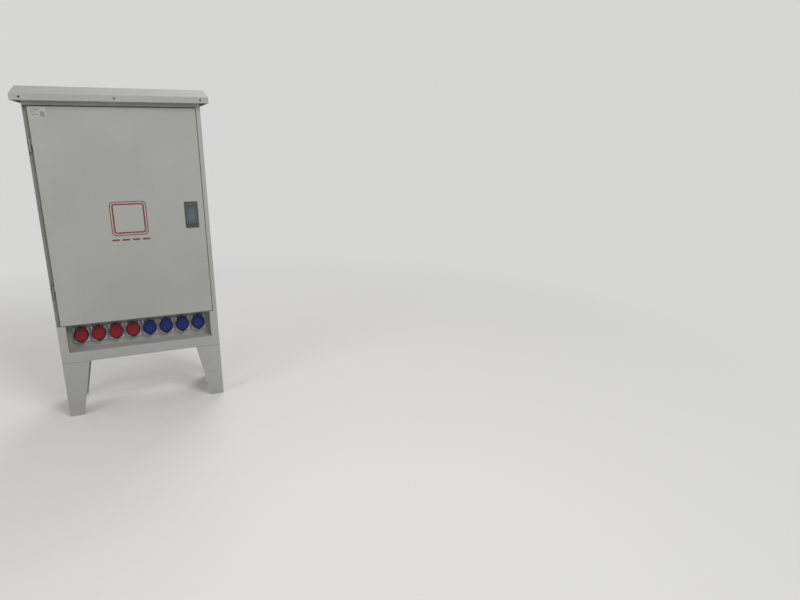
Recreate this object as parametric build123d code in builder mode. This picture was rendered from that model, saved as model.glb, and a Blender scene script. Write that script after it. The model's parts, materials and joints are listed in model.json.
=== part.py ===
from build123d import *

import os
from math import atan2, cos, radians, sin

os.makedirs("parts", exist_ok=True)

# A floor-standing temporary power distribution box. The front looks along -Y and Z is up.
# The origin is on the floor, under the middle of the body.

# Body of folded sheet steel
body_width = 800.0
body_depth = 320.0
body_height = 1340.0
leg_height = 300.0
sheet = 1.5
bend = 2.5
rear_return = 18.0
panel_return = 20.0

# Recess in the front that the door closes into, and the rain rim at its back
hinge_groove = 20.0
lock_stile = 21.0
head_band = 43.0
door_base = 202.0
recess_depth = 23.0
rim_side = 50.0
rim_top = 29.0
rim_bottom = 43.0
lip_height = 10.0

# Socket bay under the door
bay_margin = 40.0
sill_height = 56.0
bay_depth = 75.0
bay_headroom = 9.0

# Legs, folded to an L and tapered, with a plate welded inside each foot
leg_sheet = 2.5
leg_bend = 4.0
leg_front_top = 129.0
leg_front_foot = 70.0
leg_side_top = 112.0
leg_side_foot = 62.0
leg_flange_width = 96.0
leg_flange_depth = 84.0
foot_plate_width = 60.0
foot_plate_depth = 52.0
foot_plate_thickness = 5.0
anchor_hole_radius = 7.0

# Bolts and screws. A hexagon's half width and height are given over its bolt's radius.
leg_bolt_radius = 5.0
leg_bolt_insets = (28.0, 56.0)
roof_bolt_radius = 4.0
bolt_clearance = 0.5
hexagon_half_width = 1.7
hexagon_height = 1.3
stud_radius = 4.0
screw_radius = 2.0
screw_clearance = 0.2

# Rain roof
roof_overhang = 40.0
roof_lip = 30.0
roof_rise = 46.0
roof_drop = 24.0
roof_hole_radius = 5.0
roof_hole_inset = 40.0
bracket_spacing = 500.0
bracket_depth = 300.0
bracket_flange = 30.0
bracket_sheet = 3.0

# Door
door_gap_lock = 3.0
door_gap_head = 5.0
door_gap_foot = 3.0
door_fold = 20.0
door_flange = 12.0
gasket_width = 14.0
moving_gap = 0.3
stiffener_spacing = 360.0
stiffener_crown = 30.0
stiffener_foot = 15.0
stiffener_depth = 9.0
stiffener_end_gap = 20.0

# Lift-off hinges in the groove
hinge_inset = 10.0
hinge_setback = 4.0
hinge_length = 60.0
knuckle_radius = 5.0
pin_radius = 2.5
pin_clearance = 0.05
pin_end_cover = 6.0
leaf = 2.0
hinge_low = 389.0
hinge_high = 1113.0

# Flush lock
lock_width = 67.0
lock_height = 139.0
lock_edge = 31.0
lock_base = 473.0
lock_proud = 2.5
lock_depth = 29.0
lock_side = 3.0
lock_wall = 2.0
lock_foot = 18.0
lock_button_height = 19.0
lock_rib = 2.0
lock_mechanism = 19.0
flap_thickness = 8.4
flap_clearance = 0.4
flap_pin_radius = 2.0
button_depth = 12.0
button_travel = 4.0
latch_height = 20.0
latch_thickness = 4.0
latch_hook = 10.0
latch_travel = 16.0
latch_length = 55.0
latch_gap = 0.5
latch_end_gap = 1.0

# Sockets in the bay
socket_end_margin = 20.0
socket_rise = 130.0
sockets_a_side = 4
socket_flange_width = 76.0
socket_flange_height = 82.0
socket_flange = 7.0
socket_flange_corner = 6.0
socket_gasket = 1.5
collar_radius = 33.5
collar_wall = 4.5
collar_length = 15.0
carrier_radius = 23.0
carrier_setback = 10.0
housing_radius = 31.0
housing_depth = 50.0
housing_floor = 8.0
housing_clearance = 0.5
cable_boss_radius = 11.0
cable_boss_length = 10.0
contact_circle = 13.5
contact_radius = 3.9
contact_bore = 2.6
contact_depth = 30.0
contact_sink = 2.0
contact_end = 2.0
red_contacts = 5
blue_contacts = 3
socket_screw_x = 31.5
socket_screw_z = 35.5
screw_head_radius = 3.6
screw_head = 2.4
screw_past = 5.0

# Sprung lids over the sockets
lid_radius = 36.0
lid_wall = 1.8
lid_face = 8.0
lid_lap = 6.0
lid_crown_radius = 27.0
lid_crown = 2.0
lid_bevel = 40.0
lid_boss = 1.2
lid_point = 43.0
lid_shoulder = 24.0
lid_pivot_rise = 41.0
lid_pivot_setback = 5.0
lid_ear_radius = 4.0
lid_ear_half = 10.0
lug_width = 5.0
lug_gap = 0.4
lid_pin_radius = 1.5
lid_pin_past = 1.0

# Equipment plate and what stands on it
plate_width = 670.0
plate_height = 960.0
plate_base = 290.0
plate_sheet = 2.0
plate_standoff = 27.0
stud_inset = 25.0
stud_nut = 7.0
stud_end = 7.0
spacer_radius = 8.0
rail_height = 35.0
rail_hat = 27.0
rail_depth = 7.5
rail_sheet = 1.0
rail_length = 540.0
breaker_pole = 18.0
breaker_height = 85.0
breaker_body = 44.0
breaker_nose = 22.0
breaker_nose_height = 45.0
breaker_claw = 3.5
breaker_pitch = 96.0
red_row = 765.0
blue_row = 565.0
toggle_radius = 8.6
toggle_sink = 5.0
toggle_reach = 20.0
toggle_thickness = 6.0
toggle_tilt = 25.0
toggle_cheek = 6.0
main_width = 140.0
main_height = 165.0
main_body = 72.0
main_nose = 12.0
main_nose_height = 96.0
main_row = 1080.0
main_lever_width = 26.0
main_lever_radius = 14.0
main_lever_sink = 6.0
main_lever_reach = 40.0
main_lever_thickness = 10.0
main_lever_tilt = 20.0
bar_height = 15.0
bar_thickness = 4.0
bar_pitch = 25.0
bar_standoff = 24.0
bar_half = 150.0
bar_step = 20.0
bar_drop = 30.0
support_spacing = 220.0
support_width = 30.0
support_past = 11.0
duct_height = 40.0
duct_depth = 60.0
duct_wall = 1.5
duct_spacing = 620.0
duct_rows = (1220.0, 860.0, 665.0, 460.0)
duct_slot = 8.0
duct_slot_pitch = 20.0
duct_slot_margin = 8.0
duct_gap = 0.5
terminal_length = 200.0
terminal_spacing = 280.0
terminal_row = 370.0
terminal_height = 12.0
terminal_thickness = 8.0
terminal_foot = 10.0
terminal_count = 8
wire_radius = 2.6
supply_radius = 5.0
loom_radius = 7.0
loom_bend = 45.0
loom_depth = 38.0
cable_entry_radius = 30.0
cable_entry_inset = 150.0
grommet_clearance = 0.1
grommet_flange = 4.0
grommet_lip = 2.5
grommet_wall = 4.0

# Faces of the body and of the recess
left = -body_width / 2
right = body_width / 2
front = -body_depth / 2
rear = body_depth / 2
bottom = leg_height
top = leg_height + body_height
recess_right = right - lock_stile
recess_bottom = bottom + door_base
recess_top = top - head_band
rim_back = front + recess_depth
rim_front = rim_back - sheet
opening_half = right - rim_side
opening_top = recess_top - rim_top
opening_bottom = recess_bottom + rim_bottom
bay_half = right - bay_margin
bay_bottom = bottom + sill_height
bay_top = recess_bottom + bay_headroom
bay_back = front + bay_depth


def block(x, y, z, mode=Mode.ADD):
    """A block between two values of x, of y and of z."""
    middle = ((x[0] + x[1]) / 2, (y[0] + y[1]) / 2, (z[0] + z[1]) / 2)
    with Locations(middle):
        Box(x[1] - x[0], y[1] - y[0], z[1] - z[0], mode=mode)


def rod(radius, start, end, mode=Mode.ADD):
    """A round bar or hole from one point to another."""
    run = Vector(*end) - Vector(*start)
    with BuildSketch(Plane(origin=start, z_dir=run)) as section:
        Circle(radius)
    extrude(section.sketch, amount=run.length, mode=mode)


def facing(y):
    """The upright plane at the depth y, seen from the front."""
    return Plane.XZ.offset(-y)


def folded(plane, points, length, side, thickness=sheet, radius=bend):
    """A sheet folded at each point of a line, and drawn out along the plane's normal."""
    with BuildSketch(plane) as section:
        with BuildLine():
            FilletPolyline(*points, radius=radius)
            offset(amount=thickness, side=side)
        make_face()
    extrude(section.sketch, amount=length)


def keep(piece, name):
    """Labels a finished piece and writes it."""
    piece.part.label = name
    export_step(piece.part, f"parts/{name}.step")


def copies(piece, places, name):
    """Writes one node of like solids: a piece moved to each of the given places."""
    with BuildPart() as group:
        with Locations(*places):
            add(piece.part)
    keep(group, name)


def rounds(radius, plane, places, length, mode=Mode.ADD):
    """Round bars or holes of one length, all drawn from the same plane."""
    with BuildSketch(plane) as section:
        with Locations(*places):
            Circle(radius)
    extrude(section.sketch, amount=length, mode=mode)


# Side panels, each one sheet with its rear edge turned in behind the rear panel
with BuildPart() as side_panel_left:
    corner = [(left, front), (left, rear), (left + rear_return, rear)]
    folded(Plane.XY.offset(bottom), corner, body_height, Side.RIGHT)
keep(side_panel_left, "side_panel_left")

with BuildPart() as side_panel_right:
    mirror(side_panel_left.part, about=Plane.YZ)
keep(side_panel_right, "side_panel_right")

# Rear panel, flat, against the turned edges of the sides
with BuildPart() as rear_panel:
    block((left + bend, right - bend), (rear - 2 * sheet, rear - sheet), (bottom, top))
keep(rear_panel, "rear_panel")


# Top and bottom panels, trays with their four edges turned into the body
def tray(z, opening):
    block((left + sheet, right - sheet), (front + sheet, rear - 2 * sheet), z)
    face = faces().filter_by(Axis.Z).sort_by(Axis.Z)[opening]
    offset(amount=-sheet, openings=face, kind=Kind.INTERSECTION)


stud_z = (bottom + plate_base + stud_inset, bottom + plate_base + plate_height - stud_inset)
leg_bolt_x = right - leg_flange_width / 2
leg_bolt_y = [rear - inset for inset in leg_bolt_insets]
leg_bolt_places = [(sx * leg_bolt_x, sy * y) for sx in (-1, 1) for sy in (-1, 1) for y in leg_bolt_y]
roof_bolt_y = bracket_depth / 2 - bracket_flange
roof_bolt_x = bracket_spacing / 2 + bracket_sheet / 2 + bracket_flange / 2
roof_bolt_places = [(sx * roof_bolt_x, sy * roof_bolt_y) for sx in (-1, 1) for sy in (-1, 1)]
cable_entry = (left + cable_entry_inset, 0)

with BuildPart() as top_panel:
    tray((top - panel_return, top), 0)
    hole = roof_bolt_radius + bolt_clearance
    rounds(hole, Plane.XY.offset(top - sheet), roof_bolt_places, sheet, Mode.SUBTRACT)
keep(top_panel, "top_panel")

with BuildPart() as bottom_panel:
    tray((bottom, bottom + panel_return), -1)
    hole = leg_bolt_radius + bolt_clearance
    rounds(hole, Plane.XY.offset(bottom), leg_bolt_places, sheet, Mode.SUBTRACT)
    rounds(cable_entry_radius, Plane.XY.offset(bottom), [cable_entry], sheet, Mode.SUBTRACT)
keep(bottom_panel, "bottom_panel")

# Rubber grommet in the entry for the supply cable
with BuildPart() as entry_grommet:
    for radius, low, high, mode in (
        (cable_entry_radius - grommet_clearance, 0, sheet, Mode.ADD),
        (cable_entry_radius + grommet_flange, -grommet_lip, 0, Mode.ADD),
        (cable_entry_radius + grommet_flange, sheet, sheet + grommet_lip, Mode.ADD),
        (cable_entry_radius - grommet_wall, -grommet_lip, sheet + grommet_lip, Mode.SUBTRACT),
    ):
        rounds(radius, Plane.XY.offset(bottom + low), [cable_entry], high - low, mode)
keep(entry_grommet, "entry_grommet")

# Front frame, with the recess for the door, the rim with its rain lip, and the mouth of the bay
with BuildPart() as front_frame:
    block((left + sheet, right - sheet), (front, front + sheet), (bottom, top))
    recess_z = (recess_bottom - sheet, recess_top + sheet)
    block((left + sheet, recess_right + sheet), (front, rim_back), recess_z)
    block((left + sheet, recess_right), (front, rim_front), (recess_bottom, recess_top), Mode.SUBTRACT)
    lip = (opening_half + sheet, opening_bottom - sheet, opening_top + sheet)
    block((-lip[0], lip[0]), (rim_front - lip_height, rim_back), lip[1:])
    opening_z = (opening_bottom, opening_top)
    block((-opening_half, opening_half), (front, rim_back), opening_z, Mode.SUBTRACT)
    block((-bay_half, bay_half), (front, rim_back), (bay_bottom, bay_top), Mode.SUBTRACT)
keep(front_frame, "front_frame")

# Socket panel, a tray turned forward to the mouth of the bay, with a hole behind each socket
socket_z = bottom + socket_rise
socket_pitch = (bay_half - socket_end_margin) / sockets_a_side
socket_x = [(i - sockets_a_side + 0.5) * socket_pitch for i in range(2 * sockets_a_side)]
screw_places = [(sx * socket_screw_x, sz * socket_screw_z) for sx in (-1, 1) for sz in (-1, 1)]
flange_front = bay_back - socket_gasket - socket_flange
socket_places = [(x, socket_z) for x in socket_x]
all_screws = [(x + dx, socket_z + dz) for x in socket_x for dx, dz in screw_places]

with BuildPart() as socket_panel:
    pan_x = (-bay_half - sheet, bay_half + sheet)
    block(pan_x, (front + sheet, bay_back + sheet), (bay_bottom - sheet, bay_top + sheet))
    offset(amount=-sheet, openings=faces().sort_by(Axis.Y)[0], kind=Kind.INTERSECTION)
    notch_z = (recess_bottom - sheet, bay_top + sheet)
    block(pan_x, (front + sheet, rim_back), notch_z, Mode.SUBTRACT)
    hole = housing_radius + housing_clearance
    rounds(hole, facing(bay_back), socket_places, -sheet, Mode.SUBTRACT)
    rounds(screw_radius + screw_clearance, facing(bay_back), all_screws, -sheet, Mode.SUBTRACT)
keep(socket_panel, "socket_panel")


# Legs, one folded sheet each: a tapered front, a tapered side and a flange under the body
def leg(sx, sy, name):
    outer_x = sx * right
    outer_y = sy * rear
    inner_x = outer_x - sx * leg_sheet
    inner_y = outer_y - sy * leg_sheet
    with BuildPart() as piece:
        with BuildSketch(facing(outer_y)):
            with BuildLine():
                foot = (outer_x - sx * leg_front_foot, 0)
                shoulder = (outer_x - sx * leg_front_top, leg_height)
                Polyline((outer_x, 0), foot, shoulder, (outer_x, leg_height), close=True)
            make_face()
        extrude(amount=sy * leg_sheet)
        with BuildSketch(Plane.YZ.offset(outer_x)):
            with BuildLine():
                foot = (outer_y - sy * leg_side_foot, 0)
                shoulder = (outer_y - sy * leg_side_top, leg_height)
                Polyline((outer_y, 0), foot, shoulder, (outer_y, leg_height), close=True)
            make_face()
        extrude(amount=-sx * leg_sheet)
        corner = edges().filter_by(Axis.Z).sort_by_distance((outer_x, outer_y, leg_height / 2))[0]
        fillet(corner, radius=leg_bend)
        flange_x = sorted((inner_x, outer_x - sx * leg_flange_width))
        flange_y = sorted((inner_y, outer_y - sy * leg_flange_depth))
        block(flange_x, flange_y, (leg_height - leg_sheet, leg_height))
        for x, y in leg_bolt_places:
            if x * sx > 0 and y * sy > 0:
                end = (x, y, leg_height)
                hole = leg_bolt_radius + bolt_clearance
                rod(hole, (x, y, leg_height - leg_sheet), end, Mode.SUBTRACT)
    keep(piece, name)


leg(-1, -1, "leg_front_left")
leg(1, -1, "leg_front_right")
leg(-1, 1, "leg_rear_left")
leg(1, 1, "leg_rear_right")

# Foot plates, welded in the corner of each leg, with a hole for a floor anchor
anchor_x = right - leg_sheet - foot_plate_width / 2
anchor_y = rear - leg_sheet - foot_plate_depth / 2
with BuildPart() as foot_plates:
    with GridLocations(2 * anchor_x, 2 * anchor_y, 2, 2):
        size = (foot_plate_width, foot_plate_depth, foot_plate_thickness)
        Box(*size, align=(Align.CENTER, Align.CENTER, Align.MIN))
        Cylinder(
            anchor_hole_radius,
            foot_plate_thickness,
            align=(Align.CENTER, Align.CENTER, Align.MIN),
            mode=Mode.SUBTRACT,
        )
keep(foot_plates, "foot_plates")


# Bolts with a hexagon head under and a nut over the two sheets that they hold
def bolts(places, radius, low, high, name):
    head = hexagon_height * radius
    with BuildPart() as piece:
        rounds(radius, Plane.XY.offset(low), places, high - low)
        for z in (low - head, high):
            with BuildSketch(Plane.XY.offset(z)):
                with Locations(*places):
                    RegularPolygon(hexagon_half_width * radius, 6, major_radius=False)
            extrude(amount=head)
    keep(piece, name)


bolts(leg_bolt_places, leg_bolt_radius, leg_height - leg_sheet, bottom + sheet, "leg_bolts")

# Rain roof, a folded gable with a lip all round and a plate at each end
roof_x = right + roof_overhang
roof_y = rear + roof_overhang
eave = top - roof_drop + roof_lip
ridge = eave + roof_rise
slope = atan2(roof_rise, roof_y)


def gable(half, base, drop):
    """The roof's outline at a height of drop under its outer faces, out to half its depth."""
    shoulder = ridge - drop - half * roof_rise / roof_y
    return [(-half, base), (-half, shoulder), (0, ridge - drop), (half, shoulder), (half, base)]


with BuildPart() as rain_roof:
    for half_x, half_y, drop, mode in (
        (roof_x, roof_y, 0, Mode.ADD),
        (roof_x - sheet, roof_y - sheet, sheet / cos(slope), Mode.SUBTRACT),
    ):
        with BuildSketch(Plane.YZ):
            with BuildLine():
                Polyline(*gable(half_y, eave - roof_lip, drop), close=True)
            make_face()
        extrude(amount=half_x, both=True, mode=mode)
    outer = edges().filter_by(Axis.X).filter_by(lambda e: abs(e.length - 2 * roof_x) < sheet)
    fillet(outer.group_by(Axis.Z)[-1] + outer.group_by(Axis.Z)[-2], radius=bend)
    for x in (-roof_x + roof_hole_inset, 0, roof_x - roof_hole_inset):
        for y in (-roof_y, roof_y - sheet):
            z = eave - roof_lip / 2
            rod(roof_hole_radius, (x, y, z), (x, y + sheet, z), Mode.SUBTRACT)
keep(rain_roof, "rain_roof")

# Roof brackets, gable plates with a flange, welded under the roof and bolted to the top panel
with BuildPart() as roof_brackets:
    for sx in (-1, 1):
        with BuildSketch(Plane.YZ.offset(sx * bracket_spacing / 2)):
            with BuildLine():
                Polyline(*gable(bracket_depth / 2, top, sheet / cos(slope)), close=True)
            make_face()
        extrude(amount=bracket_sheet / 2, both=True)
        near = sx * (bracket_spacing / 2 + bracket_sheet / 2)
        flange_x = sorted((near, near + sx * bracket_flange))
        block(flange_x, (-bracket_depth / 2, bracket_depth / 2), (top, top + bracket_sheet))
    for x, y in roof_bolt_places:
        hole = roof_bolt_radius + bolt_clearance
        rod(hole, (x, y, top), (x, y, top + bracket_sheet), Mode.SUBTRACT)
keep(roof_brackets, "roof_brackets")

bolts(roof_bolt_places, roof_bolt_radius, top - sheet, top + bracket_sheet, "roof_bolts")

# Door, one sheet with its edges folded back and in, and a cut-out for the lock
door_left = left + hinge_groove
door_right = recess_right - door_gap_lock
door_bottom = recess_bottom + door_gap_foot
door_top = recess_top - door_gap_head
door_back = front + door_fold
lock_x = (door_right - lock_edge - lock_width, door_right - lock_edge)
lock_z = (door_bottom + lock_base, door_bottom + lock_base + lock_height)
lock_box_x = (lock_x[0] + lock_side, lock_x[1] - lock_side)
lock_box_z = (lock_z[0] + lock_side, lock_z[1] - lock_side)

with BuildPart() as door_panel:
    block((door_left, door_right), (front, door_back), (door_bottom, door_top))
    fillet(edges().filter_by(Axis.Y), radius=bend)
    fillet(faces().sort_by(Axis.Y)[0].edges(), radius=bend / 2)
    inner_x = (door_left + sheet, door_right - sheet)
    inner_z = (door_bottom + sheet, door_top - sheet)
    block(inner_x, (front + sheet, door_back - sheet), inner_z, Mode.SUBTRACT)
    mouth_x = (inner_x[0] + door_flange, inner_x[1] - door_flange)
    mouth_z = (inner_z[0] + door_flange, inner_z[1] - door_flange)
    block(mouth_x, (door_back - sheet, door_back), mouth_z, Mode.SUBTRACT)
    block(lock_box_x, (front, front + sheet), lock_box_z, Mode.SUBTRACT)
keep(door_panel, "door_panel")

# Stiffeners, two hat sections welded to the inside of the door
with BuildPart() as door_stiffeners:
    skin = front + sheet
    crown = stiffener_crown / 2
    foot = crown + stiffener_foot
    for x in (-stiffener_spacing / 2, stiffener_spacing / 2):
        points = [
            (x - foot, skin),
            (x - crown, skin),
            (x - crown, skin + stiffener_depth),
            (x + crown, skin + stiffener_depth),
            (x + crown, skin),
            (x + foot, skin),
        ]
        start = Plane.XY.offset(opening_bottom + stiffener_end_gap)
        with BuildSketch(start):
            with BuildLine():
                Polyline(*points)
                offset(amount=sheet, side=Side.RIGHT, kind=Kind.INTERSECTION)
            make_face()
            with Locations((x, skin - sheet / 2)):
                Rectangle(2 * foot, sheet, mode=Mode.SUBTRACT)
        extrude(amount=opening_top - opening_bottom - 2 * stiffener_end_gap)
keep(door_stiffeners, "door_stiffeners")

# Door gasket, a foam ring on the inside of the door, over the rain lip
with BuildPart() as door_gasket:
    seal_y = (front + sheet, rim_front - lip_height - moving_gap)
    for half, mode in ((gasket_width / 2, Mode.ADD), (-gasket_width / 2, Mode.SUBTRACT)):
        seal_half = opening_half + sheet / 2 + half
        seal_z = (opening_bottom - sheet / 2 - half, opening_top + sheet / 2 + half)
        block((-seal_half, seal_half), seal_y, seal_z, mode)
keep(door_gasket, "door_gasket")

# Hinges: a knuckle with its pin on the side panel, and a bored knuckle on the door's edge
hinge_x = left + hinge_inset
hinge_y = front + hinge_setback
hinge_z = (bottom + hinge_low, bottom + hinge_high)
half_hinge = hinge_length / 2
web_y = (hinge_y + knuckle_radius - leaf, hinge_y + knuckle_radius)

with BuildPart() as hinge_frame_leaves:
    for z in hinge_z:
        low = (z - half_hinge, z - moving_gap / 2)
        rod(knuckle_radius, (hinge_x, hinge_y, low[0]), (hinge_x, hinge_y, low[1]))
        rod(pin_radius, (hinge_x, hinge_y, z), (hinge_x, hinge_y, z + half_hinge - pin_end_cover))
        rod(pin_radius, (hinge_x, hinge_y, low[0]), (hinge_x, hinge_y, z))
        block((left + sheet, hinge_x), web_y, low)
        block((left + sheet, left + sheet + leaf), (web_y[0], rim_front), low)
keep(hinge_frame_leaves, "hinge_frame_leaves")

with BuildPart() as hinge_door_leaves:
    for z in hinge_z:
        high = (z + moving_gap / 2, z + half_hinge)
        rod(knuckle_radius, (hinge_x, hinge_y, high[0]), (hinge_x, hinge_y, high[1]))
        block((hinge_x, door_left), web_y, high)
        block((door_left - leaf, door_left), (web_y[0], door_back - leaf), high)
        bore_top = z + half_hinge - pin_end_cover + moving_gap
        bore = pin_radius + pin_clearance
        rod(bore, (hinge_x, hinge_y, high[0]), (hinge_x, hinge_y, bore_top), Mode.SUBTRACT)
keep(hinge_door_leaves, "hinge_door_leaves")

# Flush lock: a dish in the door that holds a flap, a push button and a sliding latch
lock_face = front - lock_proud
lock_back = front + lock_depth
well_x = (lock_box_x[0] + lock_wall, lock_box_x[1] - lock_wall)
button_z = (lock_box_z[1] - lock_wall - lock_button_height, lock_box_z[1] - lock_wall)
flap_z = (lock_z[0] + lock_foot, button_z[0] - lock_rib)
mechanism_y = lock_back - lock_mechanism
button_back = lock_face + moving_gap + button_depth
latch_middle = (lock_z[0] + lock_z[1]) / 2
latch_y = (rim_back + latch_gap, rim_back + latch_gap + latch_thickness)
latch_z = (latch_middle - latch_height / 2, latch_middle + latch_height / 2)
latch_x = (opening_half + latch_hook - latch_length, opening_half + latch_hook)
flap_axis_y = lock_face + moving_gap + flap_thickness / 2
flap_axis_z = flap_z[0] + flap_clearance + flap_thickness / 2
flap_x = (well_x[0] + flap_clearance, well_x[1] - flap_clearance)
flap_top = flap_z[1] - flap_clearance

with BuildPart() as lock_body:
    block(lock_x, (lock_face, front), lock_z)
    fillet(edges().filter_by(Axis.Y), radius=lock_side)
    block(lock_box_x, (front, lock_back), lock_box_z)
    block(well_x, (lock_face, mechanism_y), flap_z, Mode.SUBTRACT)
    block(well_x, (lock_face, button_back + button_travel + lock_wall), button_z, Mode.SUBTRACT)
    gate_x = (latch_x[0] - latch_travel - latch_end_gap, lock_box_x[1])
    gate_y = (latch_y[0] - moving_gap, latch_y[1] + moving_gap)
    gate_z = (latch_z[0] - moving_gap, latch_z[1] + moving_gap)
    block(gate_x, gate_y, gate_z, Mode.SUBTRACT)
    pivot = flap_pin_radius + pin_clearance
    start = (lock_box_x[0], flap_axis_y, flap_axis_z)
    end = (lock_box_x[1], flap_axis_y, flap_axis_z)
    rod(pivot, start, end, Mode.SUBTRACT)
keep(lock_body, "lock_body")

with BuildPart() as lock_flap:
    flap_y = (flap_axis_y - flap_thickness / 2, flap_axis_y + flap_thickness / 2)
    block(flap_x, flap_y, (flap_axis_z, flap_top))
    rod(flap_thickness / 2, (flap_x[0], flap_axis_y, flap_axis_z), (flap_x[1], flap_axis_y, flap_axis_z))
    stub_x = (lock_box_x[0] + moving_gap, lock_box_x[1] - moving_gap)
    rod(flap_pin_radius, (stub_x[0], flap_axis_y, flap_axis_z), (stub_x[1], flap_axis_y, flap_axis_z))
keep(lock_flap, "lock_flap")

with BuildPart() as lock_button:
    button_y = (lock_face + moving_gap, button_back)
    block(flap_x, button_y, (button_z[0] + flap_clearance, button_z[1] - flap_clearance))
keep(lock_button, "lock_button")

with BuildPart() as lock_latch:
    block(latch_x, latch_y, latch_z)
    nose = edges().filter_by(Axis.Z).sort_by_distance((latch_x[1], latch_y[1], latch_middle))[0]
    chamfer(nose, length=latch_thickness / 2)
keep(lock_latch, "lock_latch")

# Sockets: a moulded housing like a cup, with its flange, collar and two lugs for the lid. One is
# drawn at x = 0 and then copied along the bay.
collar_front = flange_front - collar_length
carrier_front = collar_front + carrier_setback
housing_back = bay_back + housing_depth
carrier_back = housing_back - housing_floor
pivot_y = collar_front + lid_pivot_setback
pivot_z = socket_z + lid_pivot_rise
lug_inner = lid_ear_half + lug_gap
red_x = [(x, 0, 0) for x in socket_x[:sockets_a_side]]
blue_x = [(x, 0, 0) for x in socket_x[sockets_a_side:]]
middle = [(0, socket_z)]

with BuildPart() as socket:
    with BuildSketch(facing(flange_front)):
        with Locations(*middle):
            RectangleRounded(socket_flange_width, socket_flange_height, socket_flange_corner)
    extrude(amount=-socket_flange)
    rounds(collar_radius, facing(collar_front), middle, collar_front - flange_front)
    rounds(housing_radius, facing(flange_front), middle, flange_front - housing_back)
    rounds(cable_boss_radius, facing(housing_back), middle, -cable_boss_length)
    bore = collar_radius - collar_wall
    rounds(bore, facing(collar_front), middle, collar_front - carrier_back, Mode.SUBTRACT)
    for sx in (-1, 1):
        lug_x = sorted((sx * lug_inner, sx * (lug_inner + lug_width)))
        lug_z = (pivot_z - lid_ear_radius, pivot_z + lid_ear_radius)
        block(lug_x, (pivot_y, flange_front + socket_flange), lug_z)
        rod(lid_ear_radius, (lug_x[0], pivot_y, pivot_z), (lug_x[1], pivot_y, pivot_z))
    pin_end = (lug_inner + lug_width, pivot_y, pivot_z)
    rod(lid_pin_radius, (-pin_end[0], pivot_y, pivot_z), pin_end, Mode.SUBTRACT)
    places = [(dx, socket_z + dz) for dx, dz in screw_places]
    hole = screw_radius + screw_clearance
    rounds(hole, facing(flange_front), places, -socket_flange, Mode.SUBTRACT)
copies(socket, red_x, "red_sockets")
copies(socket, blue_x, "blue_sockets")

# Contact carriers, round blocks on the floors of the housings, with the earth contact lowest
contact_centres = []
for i, x in enumerate(socket_x):
    count = red_contacts if i < sockets_a_side else blue_contacts
    for turn in [radians(-90 + 360 * k / count) for k in range(count)]:
        contact_centres.append((x + contact_circle * cos(turn), socket_z + contact_circle * sin(turn)))
with BuildPart() as socket_carriers:
    rounds(carrier_radius, facing(carrier_front), socket_places, carrier_front - carrier_back)
    rounds(contact_radius, facing(carrier_front), contact_centres, -contact_depth, Mode.SUBTRACT)
keep(socket_carriers, "socket_carriers")

# Brass sleeves in the carriers, which grip the pins of a plug
with BuildPart() as socket_contacts:
    sleeve = contact_depth - contact_sink
    with BuildSketch(facing(carrier_front + contact_sink)):
        with Locations(*contact_centres):
            Circle(contact_radius)
            Circle(contact_bore, mode=Mode.SUBTRACT)
    extrude(amount=contact_end - sleeve)
    with BuildSketch(facing(carrier_front + contact_depth)):
        with Locations(*contact_centres):
            Circle(contact_radius)
    extrude(amount=contact_end)
keep(socket_contacts, "socket_contacts")

# Rubber gaskets between the flanges and the socket panel
with BuildPart() as socket_gaskets:
    with BuildSketch(facing(bay_back)):
        with Locations(*socket_places):
            RectangleRounded(socket_flange_width, socket_flange_height, socket_flange_corner)
        with Locations(*socket_places):
            Circle(housing_radius + housing_clearance, mode=Mode.SUBTRACT)
        with Locations(*all_screws):
            Circle(screw_radius + screw_clearance, mode=Mode.SUBTRACT)
    extrude(amount=socket_gasket)
keep(socket_gaskets, "socket_gaskets")

# Screws at the corners of the flanges, and pins through the lugs, which the lids turn on
pin_half = lug_inner + lug_width + lid_pin_past
with BuildPart() as socket_pins_and_screws:
    rounds(screw_radius, facing(flange_front), all_screws, flange_front - bay_back - screw_past)
    rounds(screw_head_radius, facing(flange_front), all_screws, screw_head)
    for x in socket_x:
        rod(lid_pin_radius, (x - pin_half, pivot_y, pivot_z), (x + pin_half, pivot_y, pivot_z))
keep(socket_pins_and_screws, "socket_pins_and_screws")

# Lids, domed caps with a pointed thumb tab, a skirt round the collar and an ear on the pin
lid_inner = collar_front - moving_gap
lid_front = lid_inner - lid_face
with BuildPart() as lid:
    with BuildSketch(facing(lid_inner)):
        with BuildLine():
            shoulder_z = socket_z - (lid_radius**2 - lid_shoulder**2) ** 0.5
            shoulders = ((-lid_shoulder, shoulder_z), (lid_shoulder, shoulder_z))
            ThreePointArc(shoulders[0], (0, socket_z + lid_radius), shoulders[1])
            Polyline(shoulders[1], (0, socket_z - lid_point), shoulders[0])
        make_face()
    extrude(amount=lid_face - lid_crown)
    extrude(faces().sort_by(Axis.Y)[0], amount=lid_crown, taper=lid_bevel)
    rounds(lid_crown_radius, facing(lid_front), middle, lid_boss)
    with BuildSketch(facing(lid_inner)):
        with Locations(*middle):
            Circle(lid_radius)
            Circle(lid_radius - lid_wall, mode=Mode.SUBTRACT)
    extrude(amount=-lid_lap)
    ear_end = (lid_ear_half, pivot_y, pivot_z)
    rod(lid_ear_radius, (-lid_ear_half, pivot_y, pivot_z), ear_end)
    neck_y = (lid_front + lid_crown + lid_wall, pivot_y + lid_ear_radius / 2)
    block((-lid_ear_half, lid_ear_half), neck_y, (socket_z + lid_radius - lid_wall, pivot_z))
    rod(lid_pin_radius + pin_clearance, (-lid_ear_half, pivot_y, pivot_z), ear_end, Mode.SUBTRACT)
for number, place in enumerate(red_x, 1):
    copies(lid, [place], f"red_lid_{number}")
for number, place in enumerate(blue_x, 1):
    copies(lid, [place], f"blue_lid_{number}")

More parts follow.
